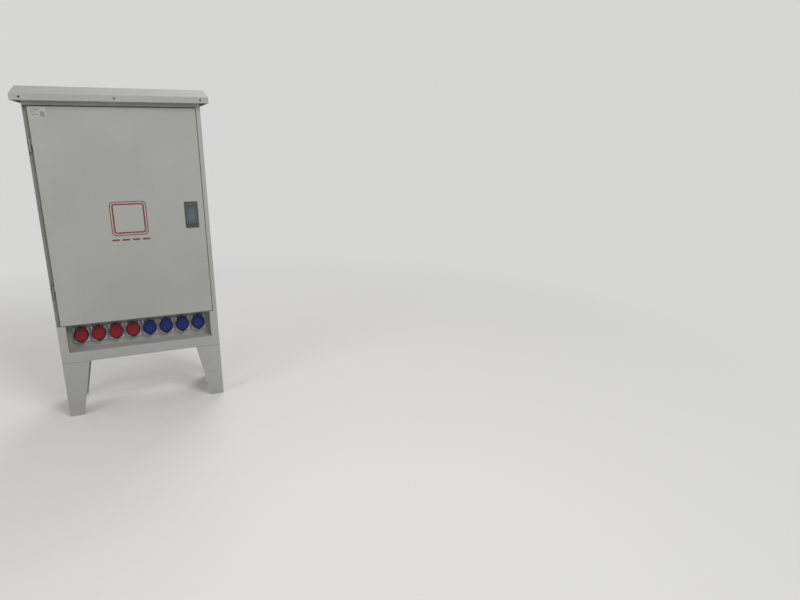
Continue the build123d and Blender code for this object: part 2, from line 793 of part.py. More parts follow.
# Equipment plate, held off the rear panel by four studs with spacers
plate_back = rear - 2 * sheet - plate_standoff
plate_front = plate_back - plate_sheet
plate_z = (bottom + plate_base, bottom + plate_base + plate_height)
stud_places = [(sx * (plate_width / 2 - stud_inset), z) for sx in (-1, 1) for z in stud_z]

with BuildPart() as mounting_plate:
    block((-plate_width / 2, plate_width / 2), (plate_front, plate_back), plate_z)
    hole = stud_radius + bolt_clearance
    rounds(hole, facing(plate_front), stud_places, -plate_sheet, Mode.SUBTRACT)
keep(mounting_plate, "mounting_plate")

with BuildPart() as plate_studs:
    rounds(spacer_radius, facing(plate_back), stud_places, -plate_standoff)
    rounds(stud_radius, facing(plate_back), stud_places, plate_sheet + stud_nut + stud_end)
    with BuildSketch(facing(plate_front)):
        with Locations(*stud_places):
            RegularPolygon(hexagon_half_width * stud_radius, 6, major_radius=False)
    extrude(amount=stud_nut)
keep(plate_studs, "plate_studs")

# Mounting rails, top-hat strips across the plate
rail_front = plate_front - rail_depth
rows = (bottom + red_row, bottom + blue_row)
with BuildPart() as din_rails:
    for z in rows:
        points = [
            (rail_front + rail_sheet, z - rail_height / 2),
            (rail_front + rail_sheet, z - rail_hat / 2),
            (plate_front, z - rail_hat / 2),
            (plate_front, z + rail_hat / 2),
            (rail_front + rail_sheet, z + rail_hat / 2),
            (rail_front + rail_sheet, z + rail_height / 2),
        ]
        with BuildSketch(Plane.YZ.offset(-rail_length / 2)):
            with BuildLine():
                Polyline(*points)
                offset(amount=rail_sheet, side=Side.LEFT, kind=Kind.INTERSECTION)
            make_face()
        extrude(amount=rail_length)
keep(din_rails, "din_rails")

# Branch breakers, one for each socket: four poles for a red one and two for a blue one
nose_front = rail_front - breaker_body - breaker_nose
toggle_y = nose_front + toggle_sink
toggle_pocket = toggle_radius + flap_clearance
breaker_x = [((i - (sockets_a_side - 1) / 2) * breaker_pitch, 0, 0) for i in range(sockets_a_side)]


def breakers(poles, z, name):
    half = poles * breaker_pole / 2
    with BuildPart() as piece:
        body_y = (rail_front - breaker_body, rail_front + breaker_claw)
        block((-half, half), body_y, (z - breaker_height / 2, z + breaker_height / 2))
        nose_z = (z - breaker_nose_height / 2, z + breaker_nose_height / 2)
        block((-half, half), (nose_front, body_y[0]), nose_z)
        rail_z = (z - rail_height / 2, z + rail_height / 2)
        block((-half, half), (rail_front, body_y[1]), rail_z, Mode.SUBTRACT)
        slot = half - toggle_cheek
        rod(toggle_pocket, (-slot, toggle_y, z), (slot, toggle_y, z), Mode.SUBTRACT)
    copies(piece, breaker_x, name)


breakers(4, rows[0], "red_breakers")
breakers(2, rows[1], "blue_breakers")


# Levers: a barrel in the pocket and a blade that leans up while the circuit is on
def lever(y, z, half, radius, reach, thickness, tilt):
    up = Vector(0, -cos(radians(tilt)), sin(radians(tilt)))
    with BuildPart() as piece:
        with BuildSketch(Plane(origin=(-half, y, z), x_dir=up, z_dir=(1, 0, 0))):
            Circle(radius)
            with Locations((reach / 2, 0)):
                Rectangle(reach, thickness)
        extrude(amount=2 * half)
    return piece


for colour, poles, z in (("red", 4, rows[0]), ("blue", 2, rows[1])):
    half = poles * breaker_pole / 2 - toggle_cheek - flap_clearance
    toggle = lever(toggle_y, z, half, toggle_radius, toggle_reach, toggle_thickness, toggle_tilt)
    for number, place in enumerate(breaker_x, 1):
        copies(toggle, [place], f"{colour}_toggle_{number}")

# Main breaker, screwed flat to the plate
main_z = bottom + main_row
main_face = plate_front - main_body
main_front = main_face - main_nose
main_lever_y = main_front + main_lever_sink
with BuildPart() as main_breaker:
    main_x = (-main_width / 2, main_width / 2)
    block(main_x, (main_face, plate_front), (main_z - main_height / 2, main_z + main_height / 2))
    nose_z = (main_z - main_nose_height / 2, main_z + main_nose_height / 2)
    block(main_x, (main_front, main_face), nose_z)
    slot = main_lever_width / 2
    pocket = main_lever_radius + flap_clearance
    start = (-slot, main_lever_y, main_z)
    rod(pocket, start, (slot, main_lever_y, main_z), Mode.SUBTRACT)
keep(main_breaker, "main_breaker")

half = main_lever_width / 2 - flap_clearance
sizes = (half, main_lever_radius, main_lever_reach, main_lever_thickness, main_lever_tilt)
main_lever = lever(main_lever_y, main_z, *sizes)
keep(main_lever, "main_lever")

# Copper bars: a drop from each outgoing terminal of the main breaker to its own level bar
bar_front = plate_front - bar_standoff - bar_thickness
drop_front = bar_front - 2 * bar_thickness
bar_top = main_z - main_height / 2 - bar_drop
bar_rows = [bar_top - i * bar_pitch for i in range(4)]
pole_x = [(i - 1.5) * main_width / 4 for i in range(4)]
bar_ends = [bar_half + (3 - i) * bar_step for i in range(4)]
with BuildPart() as busbars:
    for z, x, end in zip(bar_rows, pole_x, bar_ends):
        bar_z = (z - bar_height / 2, z + bar_height / 2)
        block((-bar_half, end), (bar_front, bar_front + bar_thickness), bar_z)
        drop_x = (x - bar_height / 2, x + bar_height / 2)
        drop_y = (drop_front, drop_front + bar_thickness)
        block(drop_x, drop_y, (bar_z[0], main_z - main_height / 2))
        block(drop_x, (drop_y[1], bar_front), bar_z)
keep(busbars, "busbars")

# Insulators that hold the level bars off the plate
with BuildPart() as busbar_supports:
    for x in (-support_spacing / 2, support_spacing / 2):
        support_x = (x - support_width / 2, x + support_width / 2)
        support_z = (bar_rows[-1] - support_past, bar_rows[0] + support_past)
        block(support_x, (bar_front + bar_thickness, plate_front), support_z)
keep(busbar_supports, "busbar_supports")


# Slotted wiring ducts with snap-on covers, four across the plate and one down each side
def duct(length):
    """A square tube along X with slots in its upper and lower walls, against the plate."""
    half = duct_height / 2
    mid_y = plate_front - duct_depth / 2
    count = int((length - 2 * duct_slot_margin) / duct_slot_pitch)
    with BuildPart() as piece:
        with BuildSketch(Plane.YZ.offset(-length / 2)):
            with Locations((mid_y, 0)):
                Rectangle(duct_depth, duct_height)
                Rectangle(duct_depth - 2 * duct_wall, duct_height - 2 * duct_wall, mode=Mode.SUBTRACT)
        extrude(amount=length)
        with BuildSketch(Plane.XY.offset(-half)):
            with Locations((0, mid_y)):
                with GridLocations(duct_slot_pitch, 0, count, 1):
                    Rectangle(duct_slot, duct_depth - 2 * duct_slot_margin)
        extrude(amount=duct_height, mode=Mode.SUBTRACT)
    return piece


duct_half = duct_spacing / 2 - duct_height / 2
duct_levels = [bottom + row for row in duct_rows]
side_duct_z = (plate_z[0] + stud_inset + 2 * spacer_radius, plate_z[1] - stud_inset - 2 * spacer_radius)
level_duct = duct(2 * (duct_half - duct_gap))
side_duct = duct(side_duct_z[1] - side_duct_z[0])
side_duct_middle = (side_duct_z[0] + side_duct_z[1]) / 2
with BuildPart() as wiring_ducts:
    with Locations(*[(0, 0, z) for z in duct_levels]):
        add(level_duct.part)
    for x in (-duct_spacing / 2, duct_spacing / 2):
        with Locations((x, 0, side_duct_middle)):
            add(side_duct.part, rotation=(0, 90, 0))
keep(wiring_ducts, "wiring_ducts")

# Terminal bars for neutral and earth, each on two feet
terminal_z = bottom + terminal_row
terminal_y = (plate_front - terminal_foot - terminal_thickness, plate_front - terminal_foot)
terminal_x = [
    (i - (terminal_count - 1) / 2) * terminal_length / terminal_count for i in range(terminal_count)
]
with BuildPart() as terminal_bars:
    for x in (-terminal_spacing / 2, terminal_spacing / 2):
        bar_x = (x - terminal_length / 2, x + terminal_length / 2)
        block(bar_x, terminal_y, (terminal_z - terminal_height / 2, terminal_z + terminal_height / 2))
        for foot in (bar_x[0], bar_x[1] - terminal_height):
            foot_z = (terminal_z - terminal_height / 2, terminal_z + terminal_height / 2)
            block((foot, foot + terminal_height), (terminal_y[1], plate_front), foot_z)
keep(terminal_bars, "terminal_bars")

# Wiring: leads between the breakers, bars and ducts, and a loom from each socket up to the ducts
lead_y = rail_front - breaker_body / 2
loom_y = plate_front - loom_depth
loom_start = housing_back + cable_boss_length
half_duct = duct_height / 2
half_breaker = breaker_height / 2


def leads(radius, places, low, high):
    """Upright leads at the same height, at the given places in plan."""
    rounds(radius, Plane.XY.offset(low), places, high - low)


with BuildPart() as internal_wiring:
    for poles, z, above, below in ((4, rows[0], 1, 2), (2, rows[1], 2, 3)):
        offsets = [(pole - (poles - 1) / 2) * breaker_pole for pole in range(poles)]
        places = [(x + dx, lead_y) for x, _, _ in breaker_x for dx in offsets]
        leads(wire_radius, places, z + half_breaker, duct_levels[above] - half_duct)
        leads(wire_radius, places, duct_levels[below] + half_duct, z - half_breaker)
    places = [(x, (main_face + plate_front) / 2) for x in pole_x]
    leads(supply_radius, places, main_z + main_height / 2, duct_levels[0] - half_duct)
    for end, z in zip(bar_ends, bar_rows):
        places = [(end - supply_radius, bar_front + bar_thickness / 2)]
        leads(supply_radius, places, duct_levels[1] + half_duct, z - bar_height / 2)
    bar_y = (terminal_y[0] + terminal_y[1]) / 2
    bar_x = (-terminal_spacing / 2, terminal_spacing / 2)
    places = [(x + dx, bar_y) for x in bar_x for dx in terminal_x]
    leads(wire_radius, places, terminal_z + terminal_height / 2, duct_levels[3] - half_duct)
    for x in socket_x:
        outermost = abs(x) > duct_half
        loom_top = side_duct_z[0] if outermost else duct_levels[3] - half_duct
        points = [(x, loom_start, socket_z), (x, loom_y, socket_z), (x, loom_y, loom_top)]
        with BuildLine(mode=Mode.PRIVATE) as route:
            FilletPolyline(*points, radius=loom_bend)
        with BuildSketch(Plane(origin=points[0], z_dir=(0, 1, 0)), mode=Mode.PRIVATE) as section:
            Circle(loom_radius)
        sweep(section.sketch, path=route.line)
keep(internal_wiring, "internal_wiring")
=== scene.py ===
import json
from math import acos, cos, hypot, pi, radians, sin

import bmesh
import bpy
from mathutils import Matrix, Vector

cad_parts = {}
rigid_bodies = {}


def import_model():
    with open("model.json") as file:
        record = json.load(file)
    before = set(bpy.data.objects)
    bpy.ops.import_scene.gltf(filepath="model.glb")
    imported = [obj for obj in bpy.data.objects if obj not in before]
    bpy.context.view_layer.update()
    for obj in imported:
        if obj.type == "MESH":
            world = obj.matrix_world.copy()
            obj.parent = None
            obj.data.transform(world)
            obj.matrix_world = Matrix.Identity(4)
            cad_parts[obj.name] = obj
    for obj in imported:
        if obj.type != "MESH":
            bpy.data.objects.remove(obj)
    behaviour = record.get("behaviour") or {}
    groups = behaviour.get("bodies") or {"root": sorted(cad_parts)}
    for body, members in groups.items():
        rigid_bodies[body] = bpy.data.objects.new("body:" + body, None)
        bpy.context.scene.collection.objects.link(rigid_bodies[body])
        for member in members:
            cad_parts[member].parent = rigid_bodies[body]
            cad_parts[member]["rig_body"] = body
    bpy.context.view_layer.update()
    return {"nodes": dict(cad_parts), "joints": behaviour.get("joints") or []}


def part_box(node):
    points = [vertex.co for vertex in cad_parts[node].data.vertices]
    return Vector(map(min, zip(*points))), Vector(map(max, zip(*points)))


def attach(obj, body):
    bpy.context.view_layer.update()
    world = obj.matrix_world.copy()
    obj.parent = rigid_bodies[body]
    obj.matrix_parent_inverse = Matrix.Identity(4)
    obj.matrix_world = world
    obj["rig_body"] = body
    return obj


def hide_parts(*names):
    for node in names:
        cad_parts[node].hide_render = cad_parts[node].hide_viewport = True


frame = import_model()
cad = frame["nodes"]


# Cabinet body, roof, legs and door: folded mild steel with a light grey powder coat that was
# baked on after welding. It is matt, with a fine pebble, and dusty near the floor.
COAT_GREY = (153, 154, 150)
COAT_DUST = (134, 129, 118)
COAT_ROUGHNESS = 0.60
ROUGHNESS_SWING = 0.04
COAT_GLOSS = 0.35
CLOUDS = 2.2
CLOUD_SWING = 0.02
PEBBLES = 620.0
PEBBLE_DEPTH = 0.22
BUMP_RISE = 0.001
DUST_PATCHES = 11.0
DUST_RUNS = 0.10
RUN_STRETCH = (6, 6, 0.35)
BODY_DUST = (0.42, 0.18)
LEG_DUST = (0.30, 0.34)
PANELS = ("side_panel_left", "side_panel_right", "rear_panel", "top_panel", "bottom_panel")
SHEET_WORK = ("front_frame", "socket_panel", "rain_roof", "roof_brackets")
DOOR_SHEETS = ("door_panel", "door_stiffeners")
LEGS = ("leg_front_left", "leg_front_right", "leg_rear_left", "leg_rear_right")


def tint(red, green, blue):
    """The linear colour of an everyday 0 to 255 one."""
    parts = [value / 255 for value in (red, green, blue)]
    return [p / 12.92 if p < 0.04045 else ((p + 0.055) / 1.055) ** 2.4 for p in parts] + [1]


def darker(colour, share):
    return tint(*[c * share for c in colour])


def finish(name, roughness, metallic=0.0):
    """A new material: itself, its node tree and its shader."""
    material = bpy.data.materials.new(name)
    material.use_nodes = True
    shader = material.node_tree.nodes["Principled BSDF"]
    shader.inputs["Roughness"].default_value = roughness
    shader.inputs["Metallic"].default_value = metallic
    return material, material.node_tree, shader


def wire(tree, kind, feeds, **settings):
    """Adds one shader node. Each feed is a plain value or another node's output."""
    node = tree.nodes.new("ShaderNode" + kind)
    for key, value in settings.items():
        setattr(node, key, value)
    for key, value in feeds.items():
        if isinstance(value, bpy.types.NodeSocket):
            tree.links.new(value, node.inputs[key])
        else:
            node.inputs[key].default_value = value
    return node


def place(tree):
    """The point of the surface, in metres, in the shared frame."""
    return wire(tree, "TexCoord", {}).outputs["Object"]


def noise(tree, scale, detail=3.0, stretch=(1, 1, 1)):
    """Cloudy noise from 0 to 1, with about scale blotches to the metre."""
    point = wire(tree, "Mapping", {"Vector": place(tree), "Scale": stretch}).outputs["Vector"]
    feeds = {"Vector": point, "Scale": scale, "Detail": detail, "Roughness": 0.55}
    return wire(tree, "TexNoise", feeds).outputs["Fac"]


def fade(tree, value, start, end, low=0.0, high=1.0):
    """Takes a value that runs from start to end to one that runs from low to high."""
    feeds = {"Value": value, "From Min": start, "From Max": end, "To Min": low, "To Max": high}
    return wire(tree, "MapRange", feeds).outputs["Result"]


def combine(tree, operation, one, other):
    return wire(tree, "Math", {0: one, 1: other}, operation=operation).outputs[0]


def blend(tree, share, one, other):
    """Mixes two colours: one where share is 0, other where it is 1."""
    return wire(tree, "Mix", {0: share, 6: one, 7: other}, data_type="RGBA").outputs[2]


def bumps(tree, shader, height, depth):
    """Makes the surface look raised where a height that runs from 0 to 1 is large."""
    bump = wire(tree, "Bump", {"Height": height, "Strength": depth, "Distance": BUMP_RISE})
    tree.links.new(bump.outputs["Normal"], shader.inputs["Normal"])


def powder_coat(name, dust_top, dust_most, grey=COAT_GREY):
    """The coat, with a film of floor dust that thins out up to the height dust_top."""
    material, tree, shader = finish(name, COAT_ROUGHNESS)
    shader.inputs["Specular IOR Level"].default_value = COAT_GLOSS
    cloud = fade(tree, noise(tree, CLOUDS), 0.35, 0.65)
    base = blend(tree, cloud, darker(grey, 1 - CLOUD_SWING), darker(grey, 1 + CLOUD_SWING))
    height = wire(tree, "SeparateXYZ", {"Vector": place(tree)}).outputs["Z"]
    low = fade(tree, height, dust_top, 0.0, 0.0, dust_most)
    patches = fade(tree, noise(tree, DUST_PATCHES, 6.0), 0.38, 0.62)
    runs = fade(tree, noise(tree, 7.0, 4.0, RUN_STRETCH), 0.60, 0.78, 0.0, DUST_RUNS)
    dust = combine(tree, "MAXIMUM", combine(tree, "MULTIPLY", low, patches), runs)
    tree.links.new(blend(tree, dust, base, tint(*COAT_DUST)), shader.inputs["Base Color"])
    matt, sleek = COAT_ROUGHNESS + ROUGHNESS_SWING, COAT_ROUGHNESS - ROUGHNESS_SWING
    rough = fade(tree, noise(tree, 26.0, 4.0), 0.3, 0.7, sleek, matt)
    tree.links.new(rough, shader.inputs["Roughness"])
    bumps(tree, shader, noise(tree, PEBBLES, 2.0), PEBBLE_DEPTH)
    return material


def coat(material, *names):
    """Gives CAD nodes a finish in place of the plain one they were packed with."""
    for name in names:
        mesh = cad[name].data
        mesh.materials.clear()
        mesh.materials.append(material)


body_coat = powder_coat("powder coat on the body", *BODY_DUST)
leg_coat = powder_coat("powder coat on the legs", *LEG_DUST)
coat(body_coat, *PANELS, *SHEET_WORK, *DOOR_SHEETS)
coat(leg_coat, *LEGS, "foot_plates")


# Seams: each leg is bolted up against the body, and the fine joint between them is filled. The
# roof's lip is welded at its corners. Both are coated over, so only a soft line shows. The leg
# seams' coat is painted darker than the body's, as painted shade in the joint.
SEAM_RADIUS = 0.0011
# Darker than the coat: painted shade in the joint of leg and body.
SEAM_PAINTED_SHADE_GREY = (124, 125, 122)
ROOF_LIP = 0.030
LIP_SEAM_X, LIP_SEAM_Y = 0.9988, 0.9975
seam_coat_painted_shade = powder_coat("powder coat in the seams, painted darker as shade", *LEG_DUST, SEAM_PAINTED_SHADE_GREY)


def curve_piece(name, paths, radius, material, body):
    """Round bars along open paths of straight lengths, all one piece."""
    data = bpy.data.curves.new(name, "CURVE")
    data.dimensions = "3D"
    data.bevel_depth = radius
    data.bevel_resolution = 4
    data.use_fill_caps = True
    for points in paths:
        spline = data.splines.new("POLY")
        spline.points.add(len(points) - 1)
        for spot, point in zip(spline.points, points):
            spot.co = (*point, 1)
    data.materials.append(material)
    piece = bpy.data.objects.new(name, data)
    bpy.context.scene.collection.objects.link(piece)
    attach(piece, body)
    return piece


seams = []
for name in LEGS:
    low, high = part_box(name)
    x = low.x if low.x < 0 else high.x
    y = low.y if low.y < 0 else high.y
    inward_x, inward_y = (1 if x < 0 else -1), (1 if y < 0 else -1)
    width, depth = high.x - low.x, high.y - low.y
    seams.append([(x + inward_x * width, y, high.z), (x, y, high.z), (x, y + inward_y * depth, high.z)])
curve_piece("leg_seams", seams, SEAM_RADIUS, seam_coat_painted_shade, "cabinet")

roof_low, roof_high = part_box("rain_roof")
seams = []
for x in (roof_low.x * LIP_SEAM_X, roof_high.x * LIP_SEAM_X):
    for y in (roof_low.y * LIP_SEAM_Y, roof_high.y * LIP_SEAM_Y):
        seams.append([(x, y, roof_low.z), (x, y, roof_low.z + ROOF_LIP)])
curve_piece("roof_seams", seams, SEAM_RADIUS, body_coat, "cabinet")


# Zinc-plated steel: the equipment plate, its rails and studs, the bolts, screws, pins and latch.
# The hinges are bare steel. Bright but not polished, with the faint cloudy look of plating.
ZINC = (176, 178, 180)
HINGE_STEEL = (150, 148, 144)


def plated(name, colour, roughness, cloud_scale):
    material, tree, shader = finish(name, roughness, 1.0)
    cloud = fade(tree, noise(tree, cloud_scale, 5.0), 0.35, 0.65)
    tree.links.new(blend(tree, cloud, darker(colour, 0.92), tint(*colour)), shader.inputs["Base Color"])
    worn = fade(tree, noise(tree, cloud_scale * 2.7, 4.0), 0.3, 0.7, roughness - 0.08, roughness + 0.1)
    tree.links.new(worn, shader.inputs["Roughness"])
    bumps(tree, shader, noise(tree, 900.0, 2.0), 0.08)
    return material


zinc = plated("zinc plate", ZINC, 0.36, 30.0)
hinge_steel = plated("bare hinge steel", HINGE_STEEL, 0.3, 60.0)
coat(zinc, "mounting_plate", "plate_studs", "din_rails", "leg_bolts", "roof_bolts", "lock_latch")
coat(zinc, "socket_pins_and_screws")
coat(hinge_steel, "hinge_frame_leaves", "hinge_door_leaves")


# Label field on the door: a plain empty frame of two dark red lines with a row of four bars
# under it, screen-printed on the coat, and a small blank paper sticker in the top corner.
PRINT_RED = (112, 30, 42)
PRINT_MIDDLE = (0.003, 1.044)
PRINT_SIDE = 0.175
PRINT_CORNER = 0.020
PRINT_LINES = ((0.0, 0.0045), (0.0105, 0.0075))
PRINT_PROUD = 0.00012
PRINT_WEAR = 0.35
BAR_COUNT = 4
BAR_SIZE = (0.036, 0.009)
BAR_PITCH = 0.049
BAR_DROP = 0.0225
BAR_CORNER = 0.0015
PAPER = ((170, 171, 168), (154, 154, 150))
INK = ((112, 113, 112), (136, 137, 135))
PAPER_CORNER = 0.0020
INK_CORNER = 0.0008
STICKER = (-0.376, -0.303, 1.537, 1.589)
STICKER_BARS = (
    (0.10, 0.62, 0.72, 0.82),
    (0.10, 0.45, 0.52, 0.60),
    (0.10, 0.55, 0.30, 0.38),
    (0.66, 0.92, 0.14, 0.60),
)


def made(name, bm, material, body, smooth=35):
    """Turns a finished bmesh into a named piece that rides on a body."""
    mesh = bpy.data.meshes.new(name)
    bmesh.ops.recalc_face_normals(bm, faces=bm.faces)
    bm.to_mesh(mesh)
    bm.free()
    mesh.shade_smooth()
    mesh.set_sharp_from_angle(angle=radians(smooth))
    mesh.materials.append(material)
    piece = bpy.data.objects.new(name, mesh)
    bpy.context.scene.collection.objects.link(piece)
    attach(piece, body)
    return piece


def rounded(middle, width, height, corner, steps=6):
    """A rectangle with round corners, as points anticlockwise in the plane of x and z."""
    points = []
    for turn, sx, sz in ((0, 1, 1), (1, -1, 1), (2, -1, -1), (3, 1, -1)):
        for step in range(steps + 1):
            angle = (turn + step / steps) * pi / 2
            x = middle[0] + sx * (width / 2 - corner) + corner * cos(angle)
            z = middle[1] + sz * (height / 2 - corner) + corner * sin(angle)
            points.append((x, z))
    return points


def slab(bm, outline, near, far, hole=None):
    """A plate between two depths in y. Its hole, if it has one, has as many points as its outline."""
    rings = []
    for line in (outline, hole) if hole else (outline,):
        rings.append([[bm.verts.new((x, y, z)) for x, z in line] for y in (near, far)])
    count = len(outline)
    for front, back in rings:
        for i in range(count):
            j = (i + 1) % count
            bm.faces.new((front[i], front[j], back[j], back[i]))
    if hole:
        for outer, inner in zip(rings[0], rings[1]):
            for i in range(count):
                j = (i + 1) % count
                bm.faces.new((outer[i], outer[j], inner[j], inner[i]))
    else:
        for ring in rings[0]:
            bm.faces.new(ring)


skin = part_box("door_panel")[0].y
material, tree, shader = finish("printed red", 0.4)
worn = fade(tree, noise(tree, 260.0, 5.0), 0.54, 0.68, 0.0, PRINT_WEAR)
tree.links.new(blend(tree, worn, tint(*PRINT_RED), tint(*COAT_GREY)), shader.inputs["Base Color"])
bumps(tree, shader, noise(tree, PEBBLES, 2.0), 0.2)
bm = bmesh.new()
for inset, stroke in PRINT_LINES:
    outer = PRINT_SIDE - 2 * inset
    inner = outer - 2 * stroke
    corner = PRINT_CORNER - inset * 0.8
    edge = rounded(PRINT_MIDDLE, outer, outer, corner)
    slab(bm, edge, skin - PRINT_PROUD, skin, rounded(PRINT_MIDDLE, inner, inner, corner - stroke * 0.8))
bar_level = PRINT_MIDDLE[1] - PRINT_SIDE / 2 - BAR_DROP
for i in range(BAR_COUNT):
    middle = (PRINT_MIDDLE[0] + (i - (BAR_COUNT - 1) / 2) * BAR_PITCH, bar_level)
    slab(bm, rounded(middle, *BAR_SIZE, BAR_CORNER), skin - PRINT_PROUD, skin)
made("printed_label_field", bm, material, "door")

material, tree, shader = finish("sticker paper", 0.55)
stain = fade(tree, noise(tree, 60.0, 4.0), 0.4, 0.7)
tree.links.new(blend(tree, stain, tint(*PAPER[0]), tint(*PAPER[1])), shader.inputs["Base Color"])
bumps(tree, shader, noise(tree, 90.0, 2.0), 0.25)
left, right, low, high = STICKER
middle = ((left + right) / 2, (low + high) / 2)
bm = bmesh.new()
slab(bm, rounded(middle, right - left, high - low, PAPER_CORNER), skin - PRINT_PROUD, skin)
made("door_sticker", bm, material, "door")
material, tree, shader = finish("sticker grey print", 0.6)
faint = fade(tree, noise(tree, 300.0, 3.0), 0.4, 0.6)
tree.links.new(blend(tree, faint, tint(*INK[0]), tint(*INK[1])), shader.inputs["Base Color"])
bm = bmesh.new()
for x0, x1, z0, z1 in STICKER_BARS:
    x = left + (right - left) * (x0 + x1) / 2
    z = low + (high - low) * (z0 + z1) / 2
    size = ((right - left) * (x1 - x0), (high - low) * (z1 - z0))
    slab(bm, rounded((x, z), *size, INK_CORNER), skin - 2 * PRINT_PROUD, skin)
made("door_sticker_bars", bm, material, "door")


# Sockets: light grey mouldings screwed to the bay's panel over a silicone gasket, with brass
# sleeves in a carrier. The rubber grommet and the door's foam gasket are black.
SOCKET_GREY = (180, 184, 184)
RUBBER_BLACK = (34, 34, 35)
SILICONE_GREY = (150, 152, 150)
BRASS = (196, 160, 88)


def moulded(name, colour, roughness=0.42, grain=0.10, scale=1400.0, gloss=0.5):
    """A plastic with a fine spark-eroded grain and a soft sheen."""
    material, tree, shader = finish(name, roughness)
    shader.inputs["Specular IOR Level"].default_value = gloss
    cloud = fade(tree, noise(tree, 18.0), 0.35, 0.65)
    tree.links.new(blend(tree, cloud, darker(colour, 0.94), tint(*colour)), shader.inputs["Base Color"])
    worn = fade(tree, noise(tree, 45.0, 4.0), 0.3, 0.7, roughness - 0.06, roughness + 0.08)
    tree.links.new(worn, shader.inputs["Roughness"])
    bumps(tree, shader, noise(tree, scale, 2.0), grain)
    return material


socket_grey = moulded("socket grey", SOCKET_GREY)
rubber = moulded("rubber", RUBBER_BLACK, 0.75, 0.3, 500.0)
brass = plated("brass", BRASS, 0.32, 40.0)
coat(socket_grey, "red_sockets", "blue_sockets", "socket_carriers")
silicone = moulded("grey silicone", SILICONE_GREY, 0.6, 0.2, 700.0)
coat(silicone, "socket_gaskets")
coat(rubber, "entry_grommet", "door_gasket")
coat(brass, "socket_contacts", "terminal_bars")


# Flush lock: a die-cast dish with a hinged flap and a push button over it, in dark grey
# stoving enamel. The button carries the key barrel, and the flap a low raised panel.
LOCK_GREY = (62, 65, 65)
FLAP_GREY = (76, 80, 81)
BUTTON_GREY = (74, 77, 78)
PANEL_GREY = (84, 90, 93)
BARREL_GREY = (104, 105, 107)
# Near-black for the keyway: painted shade of the slot.
KEYWAY_PAINTED_SHADE = (12, 12, 13)
ENAMEL_GRAIN = 0.16
EDGE_ANGLE = 30
BARREL_RADIUS = 0.0068
BARREL_RISE = 0.0012
KEYWAY = (0.0013, 0.0080)
FLAP_PANEL = (0.034, 0.066)
FLAP_PANEL_CORNER = 0.004
FLAP_PANEL_LIFT = 0.002
FLAP_PANEL_RISE = 0.0006


def softened(name, width, material):
    """A CAD node's own shape with its edges rounded over, which stands for that node."""
    bm = bmesh.new()
    bm.from_mesh(cad[name].data)
    bmesh.ops.remove_doubles(bm, verts=bm.verts, dist=1e-6)
    bmesh.ops.dissolve_limit(bm, angle_limit=radians(1), verts=bm.verts, edges=bm.edges)
    piece = made(f"{name}_softened", bm, material, cad[name]["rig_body"], EDGE_ANGLE)
    edge = piece.modifiers.new("rounded edges", "BEVEL")
    edge.width = width
    edge.segments = 2
    edge.limit_method = "ANGLE"
    edge.angle_limit = radians(EDGE_ANGLE)
    edge.use_clamp_overlap = True
    edge.harden_normals = True
    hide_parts(name)


def bridge(bm, rings):
    """Joins each ring of points to the next with a band of faces."""
    for one, other in zip(rings, rings[1:]):
        for i in range(len(one)):
            j = (i + 1) % len(one)
            bm.faces.new((one[i], one[j], other[j], other[i]))


def boss(bm, middle, y, profile, steps=40):
    """A turned shape on a face that looks along -Y: (radius, rise) pairs from its foot to its top."""
    turns = [2 * pi * i / steps for i in range(steps)]
    rings = []
    for reach, rise in profile:
        ring = [(middle[0] + reach * cos(t), y - rise, middle[1] + reach * sin(t)) for t in turns]
        rings.append([bm.verts.new(point) for point in ring])
    bridge(bm, rings)
    bm.faces.new(rings[0])
    bm.faces.new(rings[-1])


lock_grey = moulded("lock grey", LOCK_GREY, 0.38, ENAMEL_GRAIN)
lock_flap_grey = moulded("lock flap grey", FLAP_GREY, 0.34, ENAMEL_GRAIN)
lock_button_grey = moulded("lock button grey", BUTTON_GREY, 0.36, ENAMEL_GRAIN)
softened("lock_body", 0.0008, lock_grey)
softened("lock_flap", 0.0010, lock_flap_grey)
softened("lock_button", 0.0010, lock_button_grey)

low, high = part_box("lock_button")
button_middle = ((low.x + high.x) / 2, (low.z + high.z) / 2)
rim = BARREL_RADIUS - BARREL_RISE * 0.5
profile = (
    (BARREL_RADIUS, -0.0005),
    (BARREL_RADIUS, BARREL_RISE * 0.5),
    (rim, BARREL_RISE),
    (rim * 0.74, BARREL_RISE),
    (rim * 0.70, BARREL_RISE * 0.6),
)
bm = bmesh.new()
boss(bm, button_middle, low.y, profile)
barrel_steel = plated("barrel steel", BARREL_GREY, 0.4, 60.0)
made("lock_key_barrel", bm, barrel_steel, "lock_button")
# The keyway is a thin near-black sheet on the barrel, a painted shade standing for the slot.
bm = bmesh.new()
face = low.y - BARREL_RISE * 0.6
slab(bm, rounded(button_middle, *KEYWAY, KEYWAY[0] * 0.45), face - 0.0001, face)
keyway_painted_shade = moulded("keyway painted shade", KEYWAY_PAINTED_SHADE, 0.6)
made("lock_keyway", bm, keyway_painted_shade, "lock_button")

low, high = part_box("lock_flap")
flap_middle = ((low.x + high.x) / 2, (low.z + high.z) / 2 + FLAP_PANEL_LIFT)
bm = bmesh.new()
slab(bm, rounded(flap_middle, *FLAP_PANEL, FLAP_PANEL_CORNER), low.y - FLAP_PANEL_RISE, low.y)
lock_panel_grey = moulded("lock panel grey", PANEL_GREY, 0.32, ENAMEL_GRAIN)
made("lock_flap_panel", bm, lock_panel_grey, "lock_flap")
